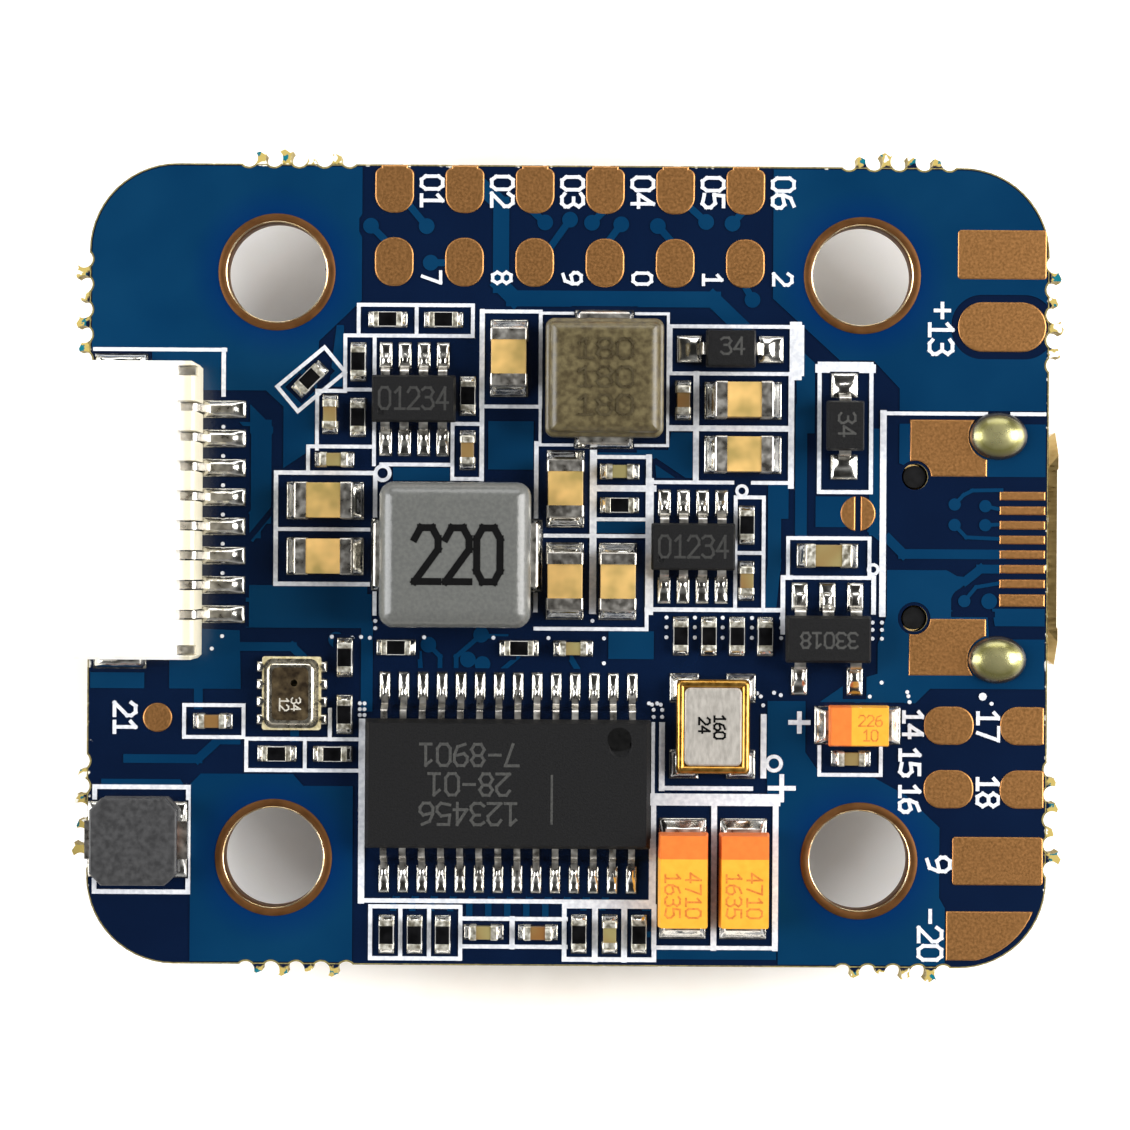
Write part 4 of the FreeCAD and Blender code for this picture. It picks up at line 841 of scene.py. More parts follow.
TERMINAL_NODES = [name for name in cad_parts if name.endswith(("_terminals", "_leads", "_contacts",
                                                                    "_anchors", "_bases"))]
terminals = []
for name in TERMINAL_NODES:
    if name != "usb_contacts":
        for upper, middle, near, tall in low_points(name):
            terminals.append((upper, middle, near, tall, name.endswith(("_leads", "_contacts"))))


def solder_on(mesh, points, climb):
    """One land's solder, as a grid whose height falls away from the terminals that stand on it."""
    centre, first, second, level, side = rectangle_of(points)
    long_way, short_way = first.normalized(), second.normalized()
    half_long, half_short = first.length - 0.015 * MM, second.length - 0.015 * MM
    feet = []
    for upper, middle, near, tall, lead in terminals:
        if upper == (side > 0) and (middle - centre).length < 6 * MM:
            along = [(point - centre).dot(long_way) for point in near]
            over = [(point - centre).dot(short_way) for point in near]
            if min(along) < half_long and max(along) > -half_long:
                if min(over) < half_short and max(over) > -half_short:
                    rise = 0.16 * MM if lead else min(tall * 0.55, climb * MM)
                    feet.append((min(along), max(along), min(over), max(over), rise))
    columns = max(6, min(16, int(half_long * 2 / (0.09 * MM))))
    rows = max(6, min(16, int(half_short * 2 / (0.09 * MM))))
    grid = []
    for column in range(columns + 1):
        line = []
        for row in range(rows + 1):
            along = half_long * (2 * column / columns - 1)
            over = half_short * (2 * row / rows - 1)
            edge = min(half_long - abs(along), half_short - abs(over))
            taper = min(1, edge / (0.16 * MM)) ** 0.5
            height = 0.05 * MM
            for left, right, low, high, rise in feet:
                away = math.hypot(max(0, left - along, along - right), max(0, low - over, over - high))
                height = max(height, rise * math.exp(-away / (0.17 * MM)))
            height *= 1 + 0.25 * noise.noise((centre + long_way * along + short_way * over) / (0.35 * MM))
            place = centre + long_way * along + short_way * over
            line.append(mesh.verts.new((place.x, place.y, level + side * (0.004 * MM + height * taper))))
        grid.append(line)
    for column in range(columns):
        for row in range(rows):
            corners = (grid[column][row], grid[column + 1][row], grid[column + 1][row + 1],
                       grid[column][row + 1])
            mesh.faces.new(corners if side > 0 else tuple(reversed(corners)))


solder_mesh = bmesh.new()
for points in lands:
    solder_on(solder_mesh, points, 0.45)
rim_points = [vertex for vertex in solder_mesh.verts if vertex.is_boundary]
feet = {vertex: solder_mesh.verts.new((vertex.co.x, vertex.co.y, TOP if vertex.co.z > TOP / 2 else UNDER))
        for vertex in rim_points}
add_walls(solder_mesh, feet)
bmesh.ops.recalc_face_normals(solder_mesh, faces=solder_mesh.faces)
fillets = piece("solder_fillets", solder_mesh, smooth=True)
# Reflowed solder freezes bright with a slight orange peel, so it breaks the lights up.
solder = clouded("frozen_bright_solder", 0.3, ("#c9c6be", "#eceae4"), (0.1, 0.26), 0.012, metallic=1.0)
dress(fillets, solder)
finish_node(solder, "component_lands")
# Hand soldering leaves amber flux, which tints the dome yellow-olive. Its dark foot, olive shoulder and
# bright crown are painted shading: the colour is set by how far each face turns up.
painted_shading_dome, painted_shading_dome_tree, painted_shading_dome_shader = new_material("hand_soldered_dome_flux_tint_painted_shading", "#c8bc84", 0.26, 0.8)
mottled(painted_shading_dome_tree, painted_shading_dome_shader, 0.7, ("#b5a96e", "#dbd09c"), (0.2, 0.36), 0.02)
tilt = add(painted_shading_dome_tree, "SeparateXYZ", {
    "Vector": add(painted_shading_dome_tree, "NewGeometry").outputs["Normal"]}).outputs["Z"]
# Painted shade and highlight: steep sides dark, the top bright, picked by the face's upward tilt.
painted_dome_shading = add(painted_shading_dome_tree, "ValToRGB", {"Fac": tilt})
painted_dome_shading.color_ramp.elements[0].position = 0.62
painted_dome_shading.color_ramp.elements[0].color = linear("#4d4945")
painted_dome_shading.color_ramp.elements[1].position = 0.995
painted_dome_shading.color_ramp.elements[1].color = linear("#d8d298")
painted_dome_mid_tone = painted_dome_shading.color_ramp.elements.new(0.9)
painted_dome_mid_tone.color = linear("#8f8a50")
painted_shading_dome_tree.links.new(painted_dome_shading.outputs["Color"], painted_shading_dome_shader.inputs["Base Color"])
painted_shading_dome_shader.inputs["Coat Weight"].default_value = 0.6
painted_shading_dome_shader.inputs["Coat Roughness"].default_value = 0.06
finish_node(painted_shading_dome, "usb_leg_solder")


# Tinned leads, terminals and clips: matt tin plate, drawn and cropped, so it is streaky and its
# edges are bright.
# Matt tin plate is grey-white and cloudy, with soft streaks of light.
tin = clouded("matt_tin_plate", 0.3, ("#bdb8ae", "#e4e0d8"), (0.24, 0.42), 0.005, detail=2.0, metallic=1.0)
finish_node(tin, "motor_connector_contacts", "motor_connector_anchors", "display_chip_leads",
            "switching_regulator_leads", "linear_regulator_leads", "diode_leads", "processor_leads",
            "flash_leads", "main_inductor_terminals", "second_inductor_terminals",
            "filter_inductor_terminals", "large_tantalum_terminals", "small_tantalum_terminals",
            "large_capacitor_terminals", "button_terminals")
# Silver-tin caps wetted by solder: warm white where smooth, dull brown where pitted.
wetted = clouded("solder_wetted_terminal", 0.16, ("#aea68e", "#fbf8ec"), (0.3, 0.55), 0.012, metallic=0.9)
finish_node(wetted, "small_capacitor_terminals", "resistor_terminals")


# Connector housing: white glass-filled nylon, moulded, its mouth at the board's left edge.
# White nylon glows slightly; its comb of contact slots has yellowed in the oven.
nylon, nylon_tree, nylon_shader = new_material("white_nylon_moulding", "#f4f2ee", 0.5)
nylon_shader.inputs["Subsurface Weight"].default_value = 0.15
nylon_shader.inputs["Subsurface Radius"].default_value = (0.0008, 0.0007, 0.0006)
nylon_ramp, _ = mottled(nylon_tree, nylon_shader, 0.4, ("#f0eeea", "#f8f7f4"), (0.42, 0.58), 0.003)
housing_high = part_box("motor_connector_housing")[1]
spot = add(nylon_tree, "TexCoord").outputs["Object"]
towards_comb = add(nylon_tree, "MapRange", {
    "Value": add(nylon_tree, "SeparateXYZ", {"Vector": spot}).outputs["X"],
    "From Min": housing_high.x - 0.5 * MM, "From Max": housing_high.x - 0.3 * MM}).outputs["Result"]
ivory = add(nylon_tree, "MixRGB", {
    "Fac": towards_comb, "Color1": nylon_ramp.outputs["Color"], "Color2": linear("#dad3bc")}).outputs[0]
nylon_tree.links.new(ivory, nylon_shader.inputs["Base Color"])
finish_node(nylon, "motor_connector_housing")


# Moulded packages: black epoxy with a spark-eroded grain on every face.
# Filled epoxy from a spark-eroded mould: dark, fine-grained, no clear reflection.
epoxy = clouded("black_epoxy_moulding", 0.06, ("#0d0d0e", "#151516"), (0.5, 0.68), 0.008, specular=0.2)
finish_node(epoxy, "display_chip_body", "switching_regulator_bodies", "linear_regulator_bodies",
            "diode_bodies", "processor_body", "gyro_body", "flash_body")


# Power inductors: a flat copper coil pressed inside iron powder, sprayed grey on the large one and
# left olive on the small one. Pressing leaves a grain and rounded top edges.
def rounded_ring(half_x, half_y, radius, steps=8):
    """Points round a rectangle with round corners, in millimetres, about its centre."""
    points = []
    for across, up, start in ((1, 1, 0), (-1, 1, 90), (-1, -1, 180), (1, -1, 270)):
        for step in range(steps + 1):
            turn = math.radians(start + 90 * step / steps)
            points.append((across * (half_x - radius) + radius * math.cos(turn),
                           up * (half_y - radius) + radius * math.sin(turn)))
    return points


def stacked(name, node, radius, levels):
    """A solid lofted through rounded rectangles, each inset from a CAD node's box at its height."""
    low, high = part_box(node)
    middle = (low + high) / 2
    half_x, half_y = (high.x - low.x) / 2 / MM, (high.y - low.y) / 2 / MM
    mesh = bmesh.new()
    loft(mesh, (middle.x / MM, middle.y / MM), (half_x, half_y), radius, levels)
    return piece(name, mesh, smooth=True)


def loft(mesh, centre, halves, radius, levels, closed=False):
    """Rings of (inset, height) levels joined by faces, capped at both ends unless closed on itself."""
    rings = []
    for inset, height in levels:
        corner = max(radius - inset, 0.02)
        ring = rounded_ring(halves[0] - inset, halves[1] - inset, corner)
        rings.append([mesh.verts.new(((centre[0] + x) * MM, (centre[1] + y) * MM, height * MM))
                      for x, y in ring])
    following = rings[1:] + (rings[:1] if closed else [])
    for ring, after in zip(rings, following):
        for step in range(len(ring)):
            turn = (step + 1) % len(ring)
            mesh.faces.new((ring[step], ring[turn], after[turn], after[step]))
    if not closed:
        mesh.faces.new(list(reversed(rings[0])))
        mesh.faces.new(rings[-1])


def eased_top(top, fillet, steps=8):
    """Levels of (inset, height) that round a top edge over."""
    turns = [math.pi / 2 * step / steps for step in range(steps + 1)]
    return [(fillet * (1 - math.cos(turn)), top - fillet * (1 - math.sin(turn))) for turn in turns]


def pressing(name, node, corner, levels, material):
    """An inductor's body lofted through its levels, in place of the plain CAD block."""
    made = stacked(name, node, corner, levels)
    for polygon in made.data.polygons:
        polygon.use_smooth = len(polygon.vertices) < 5
    dress(made, material)
    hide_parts(node)
    finish_node(material, node)


# Sprayed iron powder has a fine sandy grain under a thin gloss.
grey_powder = clouded("grey_sprayed_iron_powder", 0.12, ("#5c5d5b", "#646562"), (0.16, 0.24), 0.01)
# Uncoated iron powder is olive brown and blotched by the binder.
olive_powder = clouded("olive_iron_powder", 0.22, ("#453c28", "#63593c"), (0.3, 0.42), 0.01)
MAIN_FILLET = 0.62
SECOND_FILLET = 0.34
SECOND_STEP = 0.14
main_low, main_top = [corner.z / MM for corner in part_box("main_inductor_body")]
pressing("main_inductor_pressing", "main_inductor_body", 0.5,
         [(0.12, main_low), (0.02, main_low + 0.1), (0.0, main_low + 1.4)]
         + eased_top(main_top, MAIN_FILLET, 10), grey_powder)
second_low, second_top = [corner.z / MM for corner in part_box("second_inductor_body")]
pressing("second_inductor_pressing", "second_inductor_body", 0.3,
         [(0.1, second_low), (0.0, second_low + 0.1), (0.0, second_top - 0.62),
          (0.06, second_top - 0.56), (0.12, second_top - 0.54)]
         + [(inset + SECOND_STEP, height) for inset, height in eased_top(second_top, SECOND_FILLET, 8)],
         olive_powder)


def marking(name, shapes, height, material, thickness=0.006):
    """Ink or a laser mark standing a few hundredths of a millimetre on a flat top."""
    made = sheet(name, shapes, [], (height - 0.001) * MM, (height + thickness) * MM)
    dress(made, material)


def middle_of_points(points):
    """The middle of the box round some points, in millimetres."""
    low = Vector([min(point[axis] for point in points) for axis in range(3)])
    high = Vector([max(point[axis] for point in points) for axis in range(3)])
    return (low + high) / 2 / MM


def middle_of(node):
    low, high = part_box(node)
    return (low.x + high.x) / 2 / MM, (low.y + high.y) / 2 / MM


# Jet ink sinks in and dries dead black.
code_ink = clouded("black_jet_printed_ink", 0.12, ("#030303", "#070708"), (0.6, 0.8), 0.004, specular=0.1)
x, y = middle_of("main_inductor_body")
marking("main_inductor_code", figures("220", x + 0.1, y, 1.8, 0, 0.24, 0.72), main_top, code_ink,
        0.012)
x, y = middle_of("second_inductor_body")
raised = []
for row in range(3):
    raised.extend(figures("180", x, y + 0.95 - 0.95 * row, 0.66, 0, 0.08, 1.3))
# The raised code is pressed from the same powder. Its strokes are painted darker, a painted shade for the
# shadowed outlines of the raised strokes.
shaded_olive_embossing_finish = clouded("olive_embossing_painted_shade", 0.2, ("#3a3222", "#4c4430"), (0.25, 0.35), 0.01)
# Painted shade: the darker strokes stand in for the shade along the raised code.
marking("second_inductor_embossing", raised, second_top, shaded_olive_embossing_finish, 0.04)
# Enamel over copper wire is a dark amber metal.
enamel = clouded("enamelled_copper_wire", 0.2, ("#7d411d", "#98552a"), (0.22, 0.36), metallic=1.0)
finish_node(enamel, "main_inductor_coil", "second_inductor_coil", "filter_inductor_coil")
# Sintered ferrite is a dry dark grey with a sparkle of grains.
ferrite = clouded("sintered_ferrite", 0.2, ("#303031", "#3e3e3f"), (0.34, 0.52), 0.01)
drum = eased_copy("eased_filter_drum", "filter_inductor_core", 0.07)
dress(drum, ferrite)
finish_node(ferrite, "filter_inductor_core")


# Crystals: a ceramic boat with a gold-plated sealing ring and a seam-welded nickel lid.
# A dark ceramic boat whose top carries a gold ring.
ceramic, ceramic_tree, ceramic_shader = new_material("ceramic_boat_with_gold_ring", "#6b5a3a", 0.3)
spot = add(ceramic_tree, "TexCoord").outputs["Object"]
rise = add(ceramic_tree, "SeparateXYZ", {"Vector": spot}).outputs["Z"]
lid_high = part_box("crystal_lids")[1]
base_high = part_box("crystal_bases")[1]
gilded = add(ceramic_tree, "Math", {0: rise, 1: base_high.z - 0.12 * MM}, operation="GREATER_THAN")
grain = add(ceramic_tree, "TexNoise", {"Vector": spot, "Scale": 1 / (0.1 * MM), "Detail": 3.0})
ring_gold = add(ceramic_tree, "MixRGB", {
    "Fac": grain.outputs["Fac"], "Color1": linear("#c9923f"), "Color2": linear("#e3bd72")}).outputs[0]
boat = add(ceramic_tree, "MixRGB", {
    "Fac": grain.outputs["Fac"], "Color1": linear("#2b2721"), "Color2": linear("#3d3730")}).outputs[0]
boat_or_ring = add(ceramic_tree, "MixRGB", {
    "Fac": gilded.outputs[0], "Color1": boat, "Color2": ring_gold}).outputs[0]
ceramic_tree.links.new(boat_or_ring, ceramic_shader.inputs["Base Color"])
ceramic_tree.links.new(gilded.outputs[0], ceramic_shader.inputs["Metallic"])
finish_node(ceramic, "crystal_bases")
# Brazed gold is brassy and slightly rippled, bright along its round top.
gold_braze = clouded("gold_brazed_sealing_ring", 0.2, ("#bd8637", "#d3a555"),
                     (0.26, 0.4), 0.005, metallic=1.0)
boat_points = island_points("crystal_bases")[0]
crystal_x, crystal_y, _ = middle_of_points(boat_points)
boat_halves = (max(point.x for point in boat_points) / MM - crystal_x,
               max(point.y for point in boat_points) / MM - crystal_y)
seal = bmesh.new()
seal_top = lid_high.z / MM
bead = [(0.02, seal_top - 0.12), (0.03, seal_top - 0.05), (0.08, seal_top - 0.01), (0.14, seal_top),
        (0.2, seal_top - 0.01), (0.26, seal_top - 0.05), (0.28, seal_top - 0.12)]
loft(seal, (crystal_x, crystal_y), boat_halves, 0.22, bead, closed=True)
bmesh.ops.recalc_face_normals(seal, faces=seal.faces)
seal_ring = piece("crystal_sealing_ring", seal, smooth=True)
dress(seal_ring, gold_braze)
# Plated nickel dulls to a warm grey with faint rolling lines.
nickel = clouded("plated_nickel_lid", 0.3, ("#aea9a1", "#beb9b1"),
                 (0.4, 0.55), 0.003, stretch=(3, 1, 1), metallic=0.45)
finish_node(nickel, "crystal_lids")
marking("crystal_lid_code", figures("160", crystal_x + 0.22, crystal_y, 0.36, -90, 0.07)
        + figures("24", crystal_x - 0.3, crystal_y + 0.05, 0.36, -90, 0.07), seal_top, code_ink,
        0.01)
# Silvered quartz is pale and clear, out of sight under the lid.
quartz = clouded("silvered_quartz", 0.5, ("#cdd0d6", "#e2e4e8"), (0.15, 0.3), metallic=0.6)
finish_node(quartz, "quartz_blanks")


# Barometer: a stamped metal can with a vent hole on a small laminate base, its flat top painted dark brown
# as a painted reflection.
# Drawn nickel silver catches the lights along its shoulders.
can = clouded("stamped_can", 0.2, ("#cfc7b2", "#ebe4d2"), (0.2, 0.34), 0.006, metallic=1.0)
finish_node(can, "barometer_lid")
# The flat of the can is painted dark brown: a painted reflection of the dark overhead in its mirror-like
# top.
painted_dark_can_top = clouded("painted_dark_reflection_can_top", 0.3, ("#3b3024", "#67583f"), (0.3, 0.5), 0.004, metallic=0.7)
can_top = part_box("barometer_lid")[1].z / MM
can_x, can_y = middle_of("barometer_lid")
# A painted dark sheet over the flat of the can, standing in for its dark reflection.
can_crown = sheet("barometer_can_crown", [[(can_x + x, can_y + y) for x, y in rounded_ring(0.62, 0.9, 0.2)]],
                  [circle_points(can_x + 0.13, can_y + 0.37, 0.12)], (can_top - 0.001) * MM,
                  (can_top + 0.006) * MM)
dress(can_crown, painted_dark_can_top)
# The laser leaves pale dust in the brown.
pale_mark = clouded("pale_laser_mark", 0.1, ("#aaa598", "#c8c3b5"), (0.5, 0.7), 0.002)
marking("barometer_code", figures("12", can_x - 0.2, can_y - 0.35, 0.3, -90, 0.05)
        + figures("34", can_x + 0.2, can_y - 0.35, 0.3, -90, 0.05), can_top + 0.006, pale_mark,
        0.004)
# Bare sensor laminate is straw with a fine weave.
carrier = clouded("sensor_carrier_laminate", 0.15, ("#b9ac80", "#ded3ae"), (0.4, 0.6), 0.004)
finish_node(carrier, "barometer_base")
# Polished silicon is a dark blue-grey mirror, out of sight in the can.
silicon = clouded("polished_silicon", 0.3, ("#43454d", "#545661"), (0.1, 0.2), metallic=0.8)
finish_node(silicon, "barometer_die")


# Laser marks on the black packages: the beam leaves the epoxy a little greyer. Plain counts only.
# The beam chars the black resin to a flat mid grey.
etched = clouded("laser_greyed_epoxy", 0.08, ("#2c2c2b", "#40403d"), (0.6, 0.8), 0.003)
# An older mark, rubbed almost back to black.
faint = clouded("worn_laser_mark", 0.08, ("#1f1f1e", "#2f2f2d"), (0.55, 0.75), 0.003)
x, y = middle_of("display_chip_body")
chip_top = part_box("display_chip_body")[1].z / MM
display_marks = figures("123456", x - 1.3, y - 1.0, 0.72, 180, 0.1) + figures(
    "28-01", x - 1.3, y + 0.0, 0.72, 180, 0.1) + figures("7-8901", x - 1.3, y + 1.0, 0.72, 180, 0.1)
marking("display_chip_marks", display_marks + [bar((x + 1.5, y - 1.3), (x + 1.5, y + 0.3), 0.08)],
        chip_top, etched)
# The ejector left a smooth dimple, darker than the grain round it.
pip = clouded("smooth_ejector_mark", 0.2, ("#080808", "#0e0e0e"), (0.45, 0.6), 0.002, specular=0.08)
marking("display_chip_pin_one", [circle_points(x + 3.78, y + 1.56, 0.4)], chip_top, pip)
for number, points in enumerate(island_points("switching_regulator_bodies")):
    middle = middle_of_points(points)
    marking(f"switching_regulator_marks_{number}", figures("01234", middle.x, middle.y, 0.72, 0, 0.09, 0.85),
            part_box("switching_regulator_bodies")[1].z / MM, faint)
middle = middle_of_points(island_points("linear_regulator_bodies")[0])
marking("linear_regulator_marks", figures("33018", middle.x, middle.y - 0.03, 0.5, 180, 0.08),
        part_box("linear_regulator_bodies")[1].z / MM, etched)
diode_marks = ((0, 0.04, 0.07), (-90, 0.03, 0.02))
for number, (angle, across, up) in enumerate(diode_marks):
    middle = middle_of_points(island_points("diode_bodies")[number])
    marking(f"diode_marks_{number}", figures("34", middle.x + across, middle.y + up, 0.55, angle, 0.08),
            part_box("diode_bodies")[1].z / MM, etched)


# Tantalum capacitors: yellow moulded epoxy with an orange stripe burnt across the positive end.
# Yellow casting epoxy, satin, with an orange band at the positive end.
tantalum, tantalum_tree, tantalum_shader = new_material("yellow_epoxy_orange_stripe", "#f2b62c", 0.5)
spot = add(tantalum_tree, "TexCoord").outputs["Object"]
parts = add(tantalum_tree, "SeparateXYZ", {"Vector": spot})
large_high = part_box("large_tantalum_bodies")[1]
striped = add(tantalum_tree, "Math", {0: parts.outputs["Y"], 1: large_high.y - 0.85 * MM},
              operation="GREATER_THAN").outputs[0]
large_one = add(tantalum_tree, "Math", {0: parts.outputs["Y"], 1: -8 * MM},
                operation="LESS_THAN").outputs[0]
small_low, small_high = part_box("small_tantalum_body")
small_end = add(tantalum_tree, "Math", {0: parts.outputs["X"], 1: small_low.x + 0.74 * MM},
                operation="LESS_THAN").outputs[0]
small_one = add(tantalum_tree, "Math", {0: 1.0, 1: large_one}, operation="SUBTRACT").outputs[0]
small_stripe = add(tantalum_tree, "Math", {0: small_end, 1: small_one}, operation="MULTIPLY").outputs[0]
on_large = add(tantalum_tree, "Math", {0: striped, 1: large_one}, operation="MULTIPLY").outputs[0]
stripe = add(tantalum_tree, "Math", {0: on_large, 1: small_stripe}, operation="MAXIMUM").outputs[0]
grain = add(tantalum_tree, "TexNoise", {"Vector": spot, "Scale": 1 / (0.25 * MM), "Detail": 4.0})
yellow = add(tantalum_tree, "MixRGB", {
    "Fac": grain.outputs["Fac"], "Color1": linear("#e2961a"), "Color2": linear("#efae35")}).outputs[0]
orange = add(tantalum_tree, "MixRGB", {
    "Fac": grain.outputs["Fac"], "Color1": linear("#d9661c"), "Color2": linear("#e97c2e")}).outputs[0]
banded = add(tantalum_tree, "MixRGB", {"Fac": stripe, "Color1": yellow, "Color2": orange}).outputs[0]
tantalum_tree.links.new(banded, tantalum_shader.inputs["Base Color"])
relief = add(tantalum_tree, "Bump", {
    "Height": grain.outputs["Fac"], "Strength": 1.0, "Distance": 0.004 * MM}).outputs["Normal"]
tantalum_tree.links.new(relief, tantalum_shader.inputs["Normal"])
finish_node(tantalum, "large_tantalum_bodies", "small_tantalum_body")
# The code is burnt a shade darker than the yellow.
burnt = clouded("burnt_orange_mark", 0.1, ("#bb6217", "#d98428"), (0.5, 0.7), 0.003)
large_top = large_high.z / MM
for number, points in enumerate(island_points("large_tantalum_bodies")):
    middle = middle_of_points(points)
    code = (figures("4710", middle.x + 0.32, middle.y - 0.45, 0.5, -90, 0.07)
            + figures("1635", middle.x - 0.38, middle.y - 0.45, 0.5, -90, 0.07))
    marking(f"large_tantalum_marks_{number}", code, large_top, burnt, 0.004)
x, y = middle_of("small_tantalum_body")
marking("small_tantalum_marks", figures("226", x + 0.35, y + 0.2, 0.36, 0, 0.05)
        + figures("10", x + 0.35, y - 0.3, 0.36, 0, 0.05), small_high.z / MM, burnt, 0.004)


# Chip capacitors and resistors: fired ceramic blocks. The capacitors are plain tan, the resistors
# are white alumina under black glass.
# Fired titanate is a waxy tan that drifts in tone along the block.
titanate = clouded("tan_barium_titanate", 1.1, ("#9c864c", "#dcb26a"), (0.35, 0.55), 0.004, detail=2.0)
finish_node(titanate, "large_capacitor_bodies")
# The smaller blocks come from browner and olive batches.
umber = clouded("brown_barium_titanate", 2.2, ("#7a5227", "#8b8150"), (0.35, 0.55), 0.004, detail=2.0)
finish_node(umber, "small_capacitor_bodies")
# Fired alumina is a plain chalky white.
alumina = clouded("white_alumina", 0.1, ("#d2d0ca", "#e6e4df"), (0.4, 0.6), 0.002)
finish_node(alumina, "resistor_bodies")
# Black glass over the resistor film, smooth and very dark.
glaze = clouded("black_glass_glaze", 0.3, ("#050506", "#0c0c0e"), (0.3, 0.45), 0.004, specular=0.12)
finish_node(glaze, "resistor_coats")


# USB socket: a folded tin-plated steel shell with a flared mouth, gold contacts on a black tongue.
# Warm tin over steel, drawn along the shell, with an even satin sheen.
steel = clouded("plated_socket_steel", 0.6, ("#c2a468", "#cfb47c"),
                (0.26, 0.36), 0.0, stretch=(1, 4, 1), metallic=1.0)
finish_node(steel, "usb_shell")
# Rolled stainless sheet with fine parallel lines.
spring = clouded("stainless_switch_sheet", 0.5, ("#bcbcb9", "#d6d6d3"),
                 (0.2, 0.36), 0.003, stretch=(8, 1, 1), metallic=1.0)
finish_node(spring, "button_dome", "button_cover")
dome_mesh = bmesh.new()
dome_mesh.from_mesh(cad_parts["button_dome"].data)
dome = piece("snap_dome", dome_mesh, smooth=True)
dress(dome, spring)
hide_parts("button_dome")
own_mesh(dome)
# Hard gold, polished yellow.
contact = clouded("hard_gold_contact", 0.2, ("#cc9a4a", "#e2b468"), (0.16, 0.3), metallic=1.0)
finish_node(contact, "usb_contacts")
# Liquid crystal polymer is dull and deep black.
polymer = clouded("black_liquid_crystal_polymer", 0.3, ("#080809", "#0e0e10"),
                  (0.45, 0.6), 0.003, specular=0.2)
finish_node(polymer, "usb_insulator", "button_base")
# Hard resin with a dark satin face.
plunger = clouded("button_plunger_resin", 0.3, ("#272729", "#323234"), (0.32, 0.5), 0.003)
finish_node(plunger, "button_plunger")
# Clear casting resin over a pale phosphor.
lamp = clouded("clear_lamp_resin", 0.4, ("#d5dac2", "#e8ebdc"), (0.12, 0.25))
finish_node(lamp, "status_lights")


# Underside: a ground pour over most of the face, cleared in channels where the processor's tracks
# run out to their vias, with the same white legend, mirrored so that it reads from below.
lower_rectangles = [rectangle_of(points) for points in lower_lands]
processor_low, processor_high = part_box("processor_body")
processor_x, processor_y = middle_of("processor_body")
reach_out = (processor_high.x - processor_low.x) / 2 / MM
channels = []
under_tracks = []
under_vias = []
for number, (centre, first, second, level, side) in enumerate(lower_rectangles):
    x, y = centre.x / MM - processor_x, centre.y / MM - processor_y
    around = max(abs(x), abs(y))
    if reach_out < around < reach_out + 1.2 and min(abs(x), abs(y)) < reach_out:
        out = Vector((math.copysign(1, x), 0)) if abs(x) > abs(y) else Vector((0, math.copysign(1, y)))
        length = 0.75 + 0.35 * (number % 3)
        start = Vector((centre.x / MM, centre.y / MM))
        lean = Vector((-out.y, out.x)) * (0.25 if number % 2 else -0.25)
        route = [tuple(start), tuple(start + out * 0.6), tuple(start + out * length + lean)]
        clear_of_hole = all(math.dist(route[-1], hole) > 2.6 for hole in HOLE_PLACES)
        clear_of_parts = all(math.dist(route[-1], (other[0].x / MM, other[0].y / MM)) > 0.75
                             for other in lower_rectangles if other[0] is not centre)
        if clear_of_hole and clear_of_parts:
            under_tracks.extend(joined_stroke(route, 0.16))
            under_vias.append(circle_points(route[-1][0], route[-1][1], 0.23, 16))
            channels.extend(joined_stroke(route, 0.42))
            channels.append(circle_points(route[-1][0], route[-1][1], 0.38, 16))
feed_lines = [
    [(-6.9, 8.9), (-8.3, 10.2), (-8.3, 12.6)], [(-4.4, 8.9), (-4.4, 12.6)], [(-2.4, 8.9), (-2.4, 12.6)],
    [(0.0, 6.7), (0.0, 12.6)], [(5.0, 6.8), (4.9, 9.6), (6.6, 11.2)], [(8.6, 2.6), (10.5, 0.9)],
    [(-8.4, -3.9), (-10.8, -6.0), (-12.9, -6.0)], [(4.6, -7.2), (6.6, -7.8), (12.0, -7.8)],
    [(-8.9, 4.4), (-11.2, 5.6), (-15.0, 5.6)], [(6.6, 4.0), (6.6, 7.4), (9.0, 7.4)],
]
for line in feed_lines:
    under_tracks.extend(joined_stroke(line, 0.2))
    channels.extend(joined_stroke(line, 0.5))
    under_vias.append(circle_points(line[-1][0], line[-1][1], 0.26, 16))
    channels.append(circle_points(line[-1][0], line[-1][1], 0.42, 16))
lower_gaps = [grown_rectangle(points, 0.16) for points in lower_lands]
lower_gaps += [circle_points(x, y, 1.95, 64) for x, y in HOLE_PLACES]
lower_gaps += [circle_points(PEG_X, SOCKET_MIDDLE + side * PEG_REACH, 0.5) for side in (-1, 1)]
leg_reach = (socket_high.y - socket_low.y) / 2 / MM
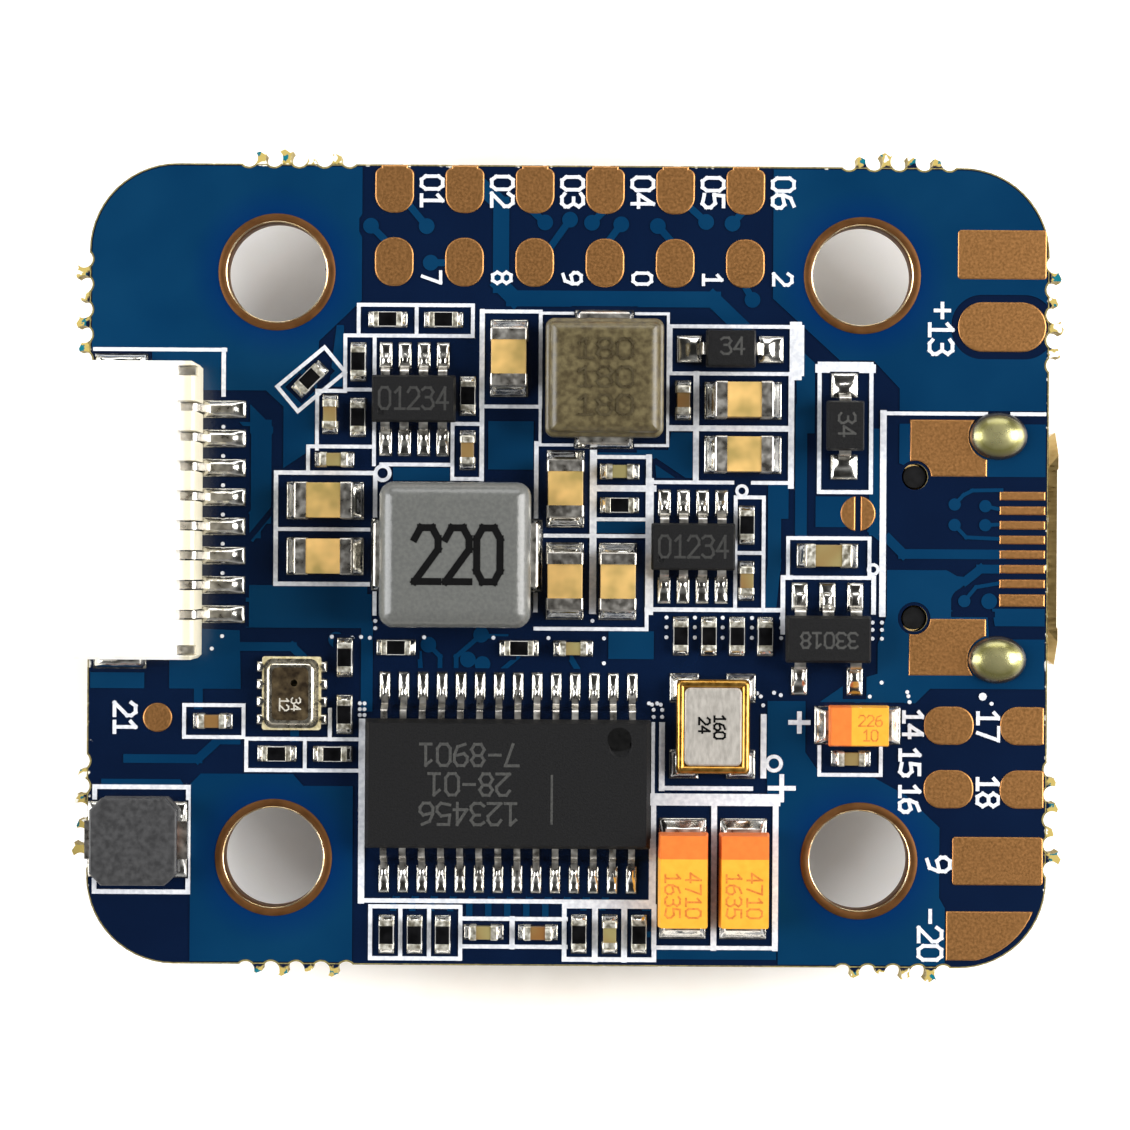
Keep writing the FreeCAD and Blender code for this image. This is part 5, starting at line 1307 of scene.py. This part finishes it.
lower_gaps += [rounded_rectangle(14.0, 15.4, SOCKET_MIDDLE + side * leg_reach - 0.8,
                                 SOCKET_MIDDLE + side * leg_reach + 0.8, 0.4) for side in (-1, 1)]
lower_lands_now = [grown_rectangle(points, 0.06) for points in lower_lands]
lower_pour = sheet("copper_under_mask_below", [BOARD_INSIDE], lower_gaps + channels,
                   UNDER - COPPER * MM, UNDER)
lower_tracks = sheet("tracks_under_mask_below", under_tracks + under_vias, lower_lands_now,
                     UNDER - COPPER * MM, UNDER)
dress(lower_pour, over_copper)
dress(lower_tracks, over_copper)
lower_legend_shapes = []
for node, margin, width in (("processor_body", 1.45, 0.15), ("gyro_body", 0.55, 0.13),
                            ("button_cover", 0.2, 0.15), ("flash_body", 0.25, 0.13)):
    low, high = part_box(node)
    edges = (low.x / MM - margin, high.x / MM + margin, low.y / MM - margin, high.y / MM + margin)
    if node == "flash_body":
        edges = (edges[0] - 1.3, edges[1] + 1.3, edges[2], edges[3])
    left, right, bottom, top = edges
    lower_legend_shapes.extend(joined_stroke(
        [(left, bottom), (right, bottom), (right, top), (left, top), (left, bottom)], width))
lower_legend_shapes.append(circle_points(processor_x - 6.7, processor_y + 6.7, 0.3))
lower_legend_shapes.append(circle_points(4.3, -7.4, 0.22))
for number in range(3):
    lower_legend_shapes.extend(figures(f"{number + 1:02d}", -4.8 + 2.4 * number, 13.0, 0.6, 90, 0.13, -1.0))
for text, x, y, size in (("100", 10.7, -12.4, 0.9), ("22", -12.9, 2.6, 0.8), ("23", 8.6, 7.4, 0.7),
                         ("24", 4.9, -12.6, 0.8), ("-+", 13.6, 9.6, 1.1)):
    lower_legend_shapes.extend(figures(text, x, y, size, 0, 0.15, -1.0))
lower_bare = [grown_rectangle(points, 0.04) for points in lower_lands]
lower_bare += [circle_points(x, y, 2.1, 48) for x, y in HOLE_PLACES]
lower_legend = sheet("legend_ink_below", lower_legend_shapes, lower_bare, UNDER - INK_TOP * MM, UNDER,
                     BOARD_INSIDE)
dress(lower_legend, ink)
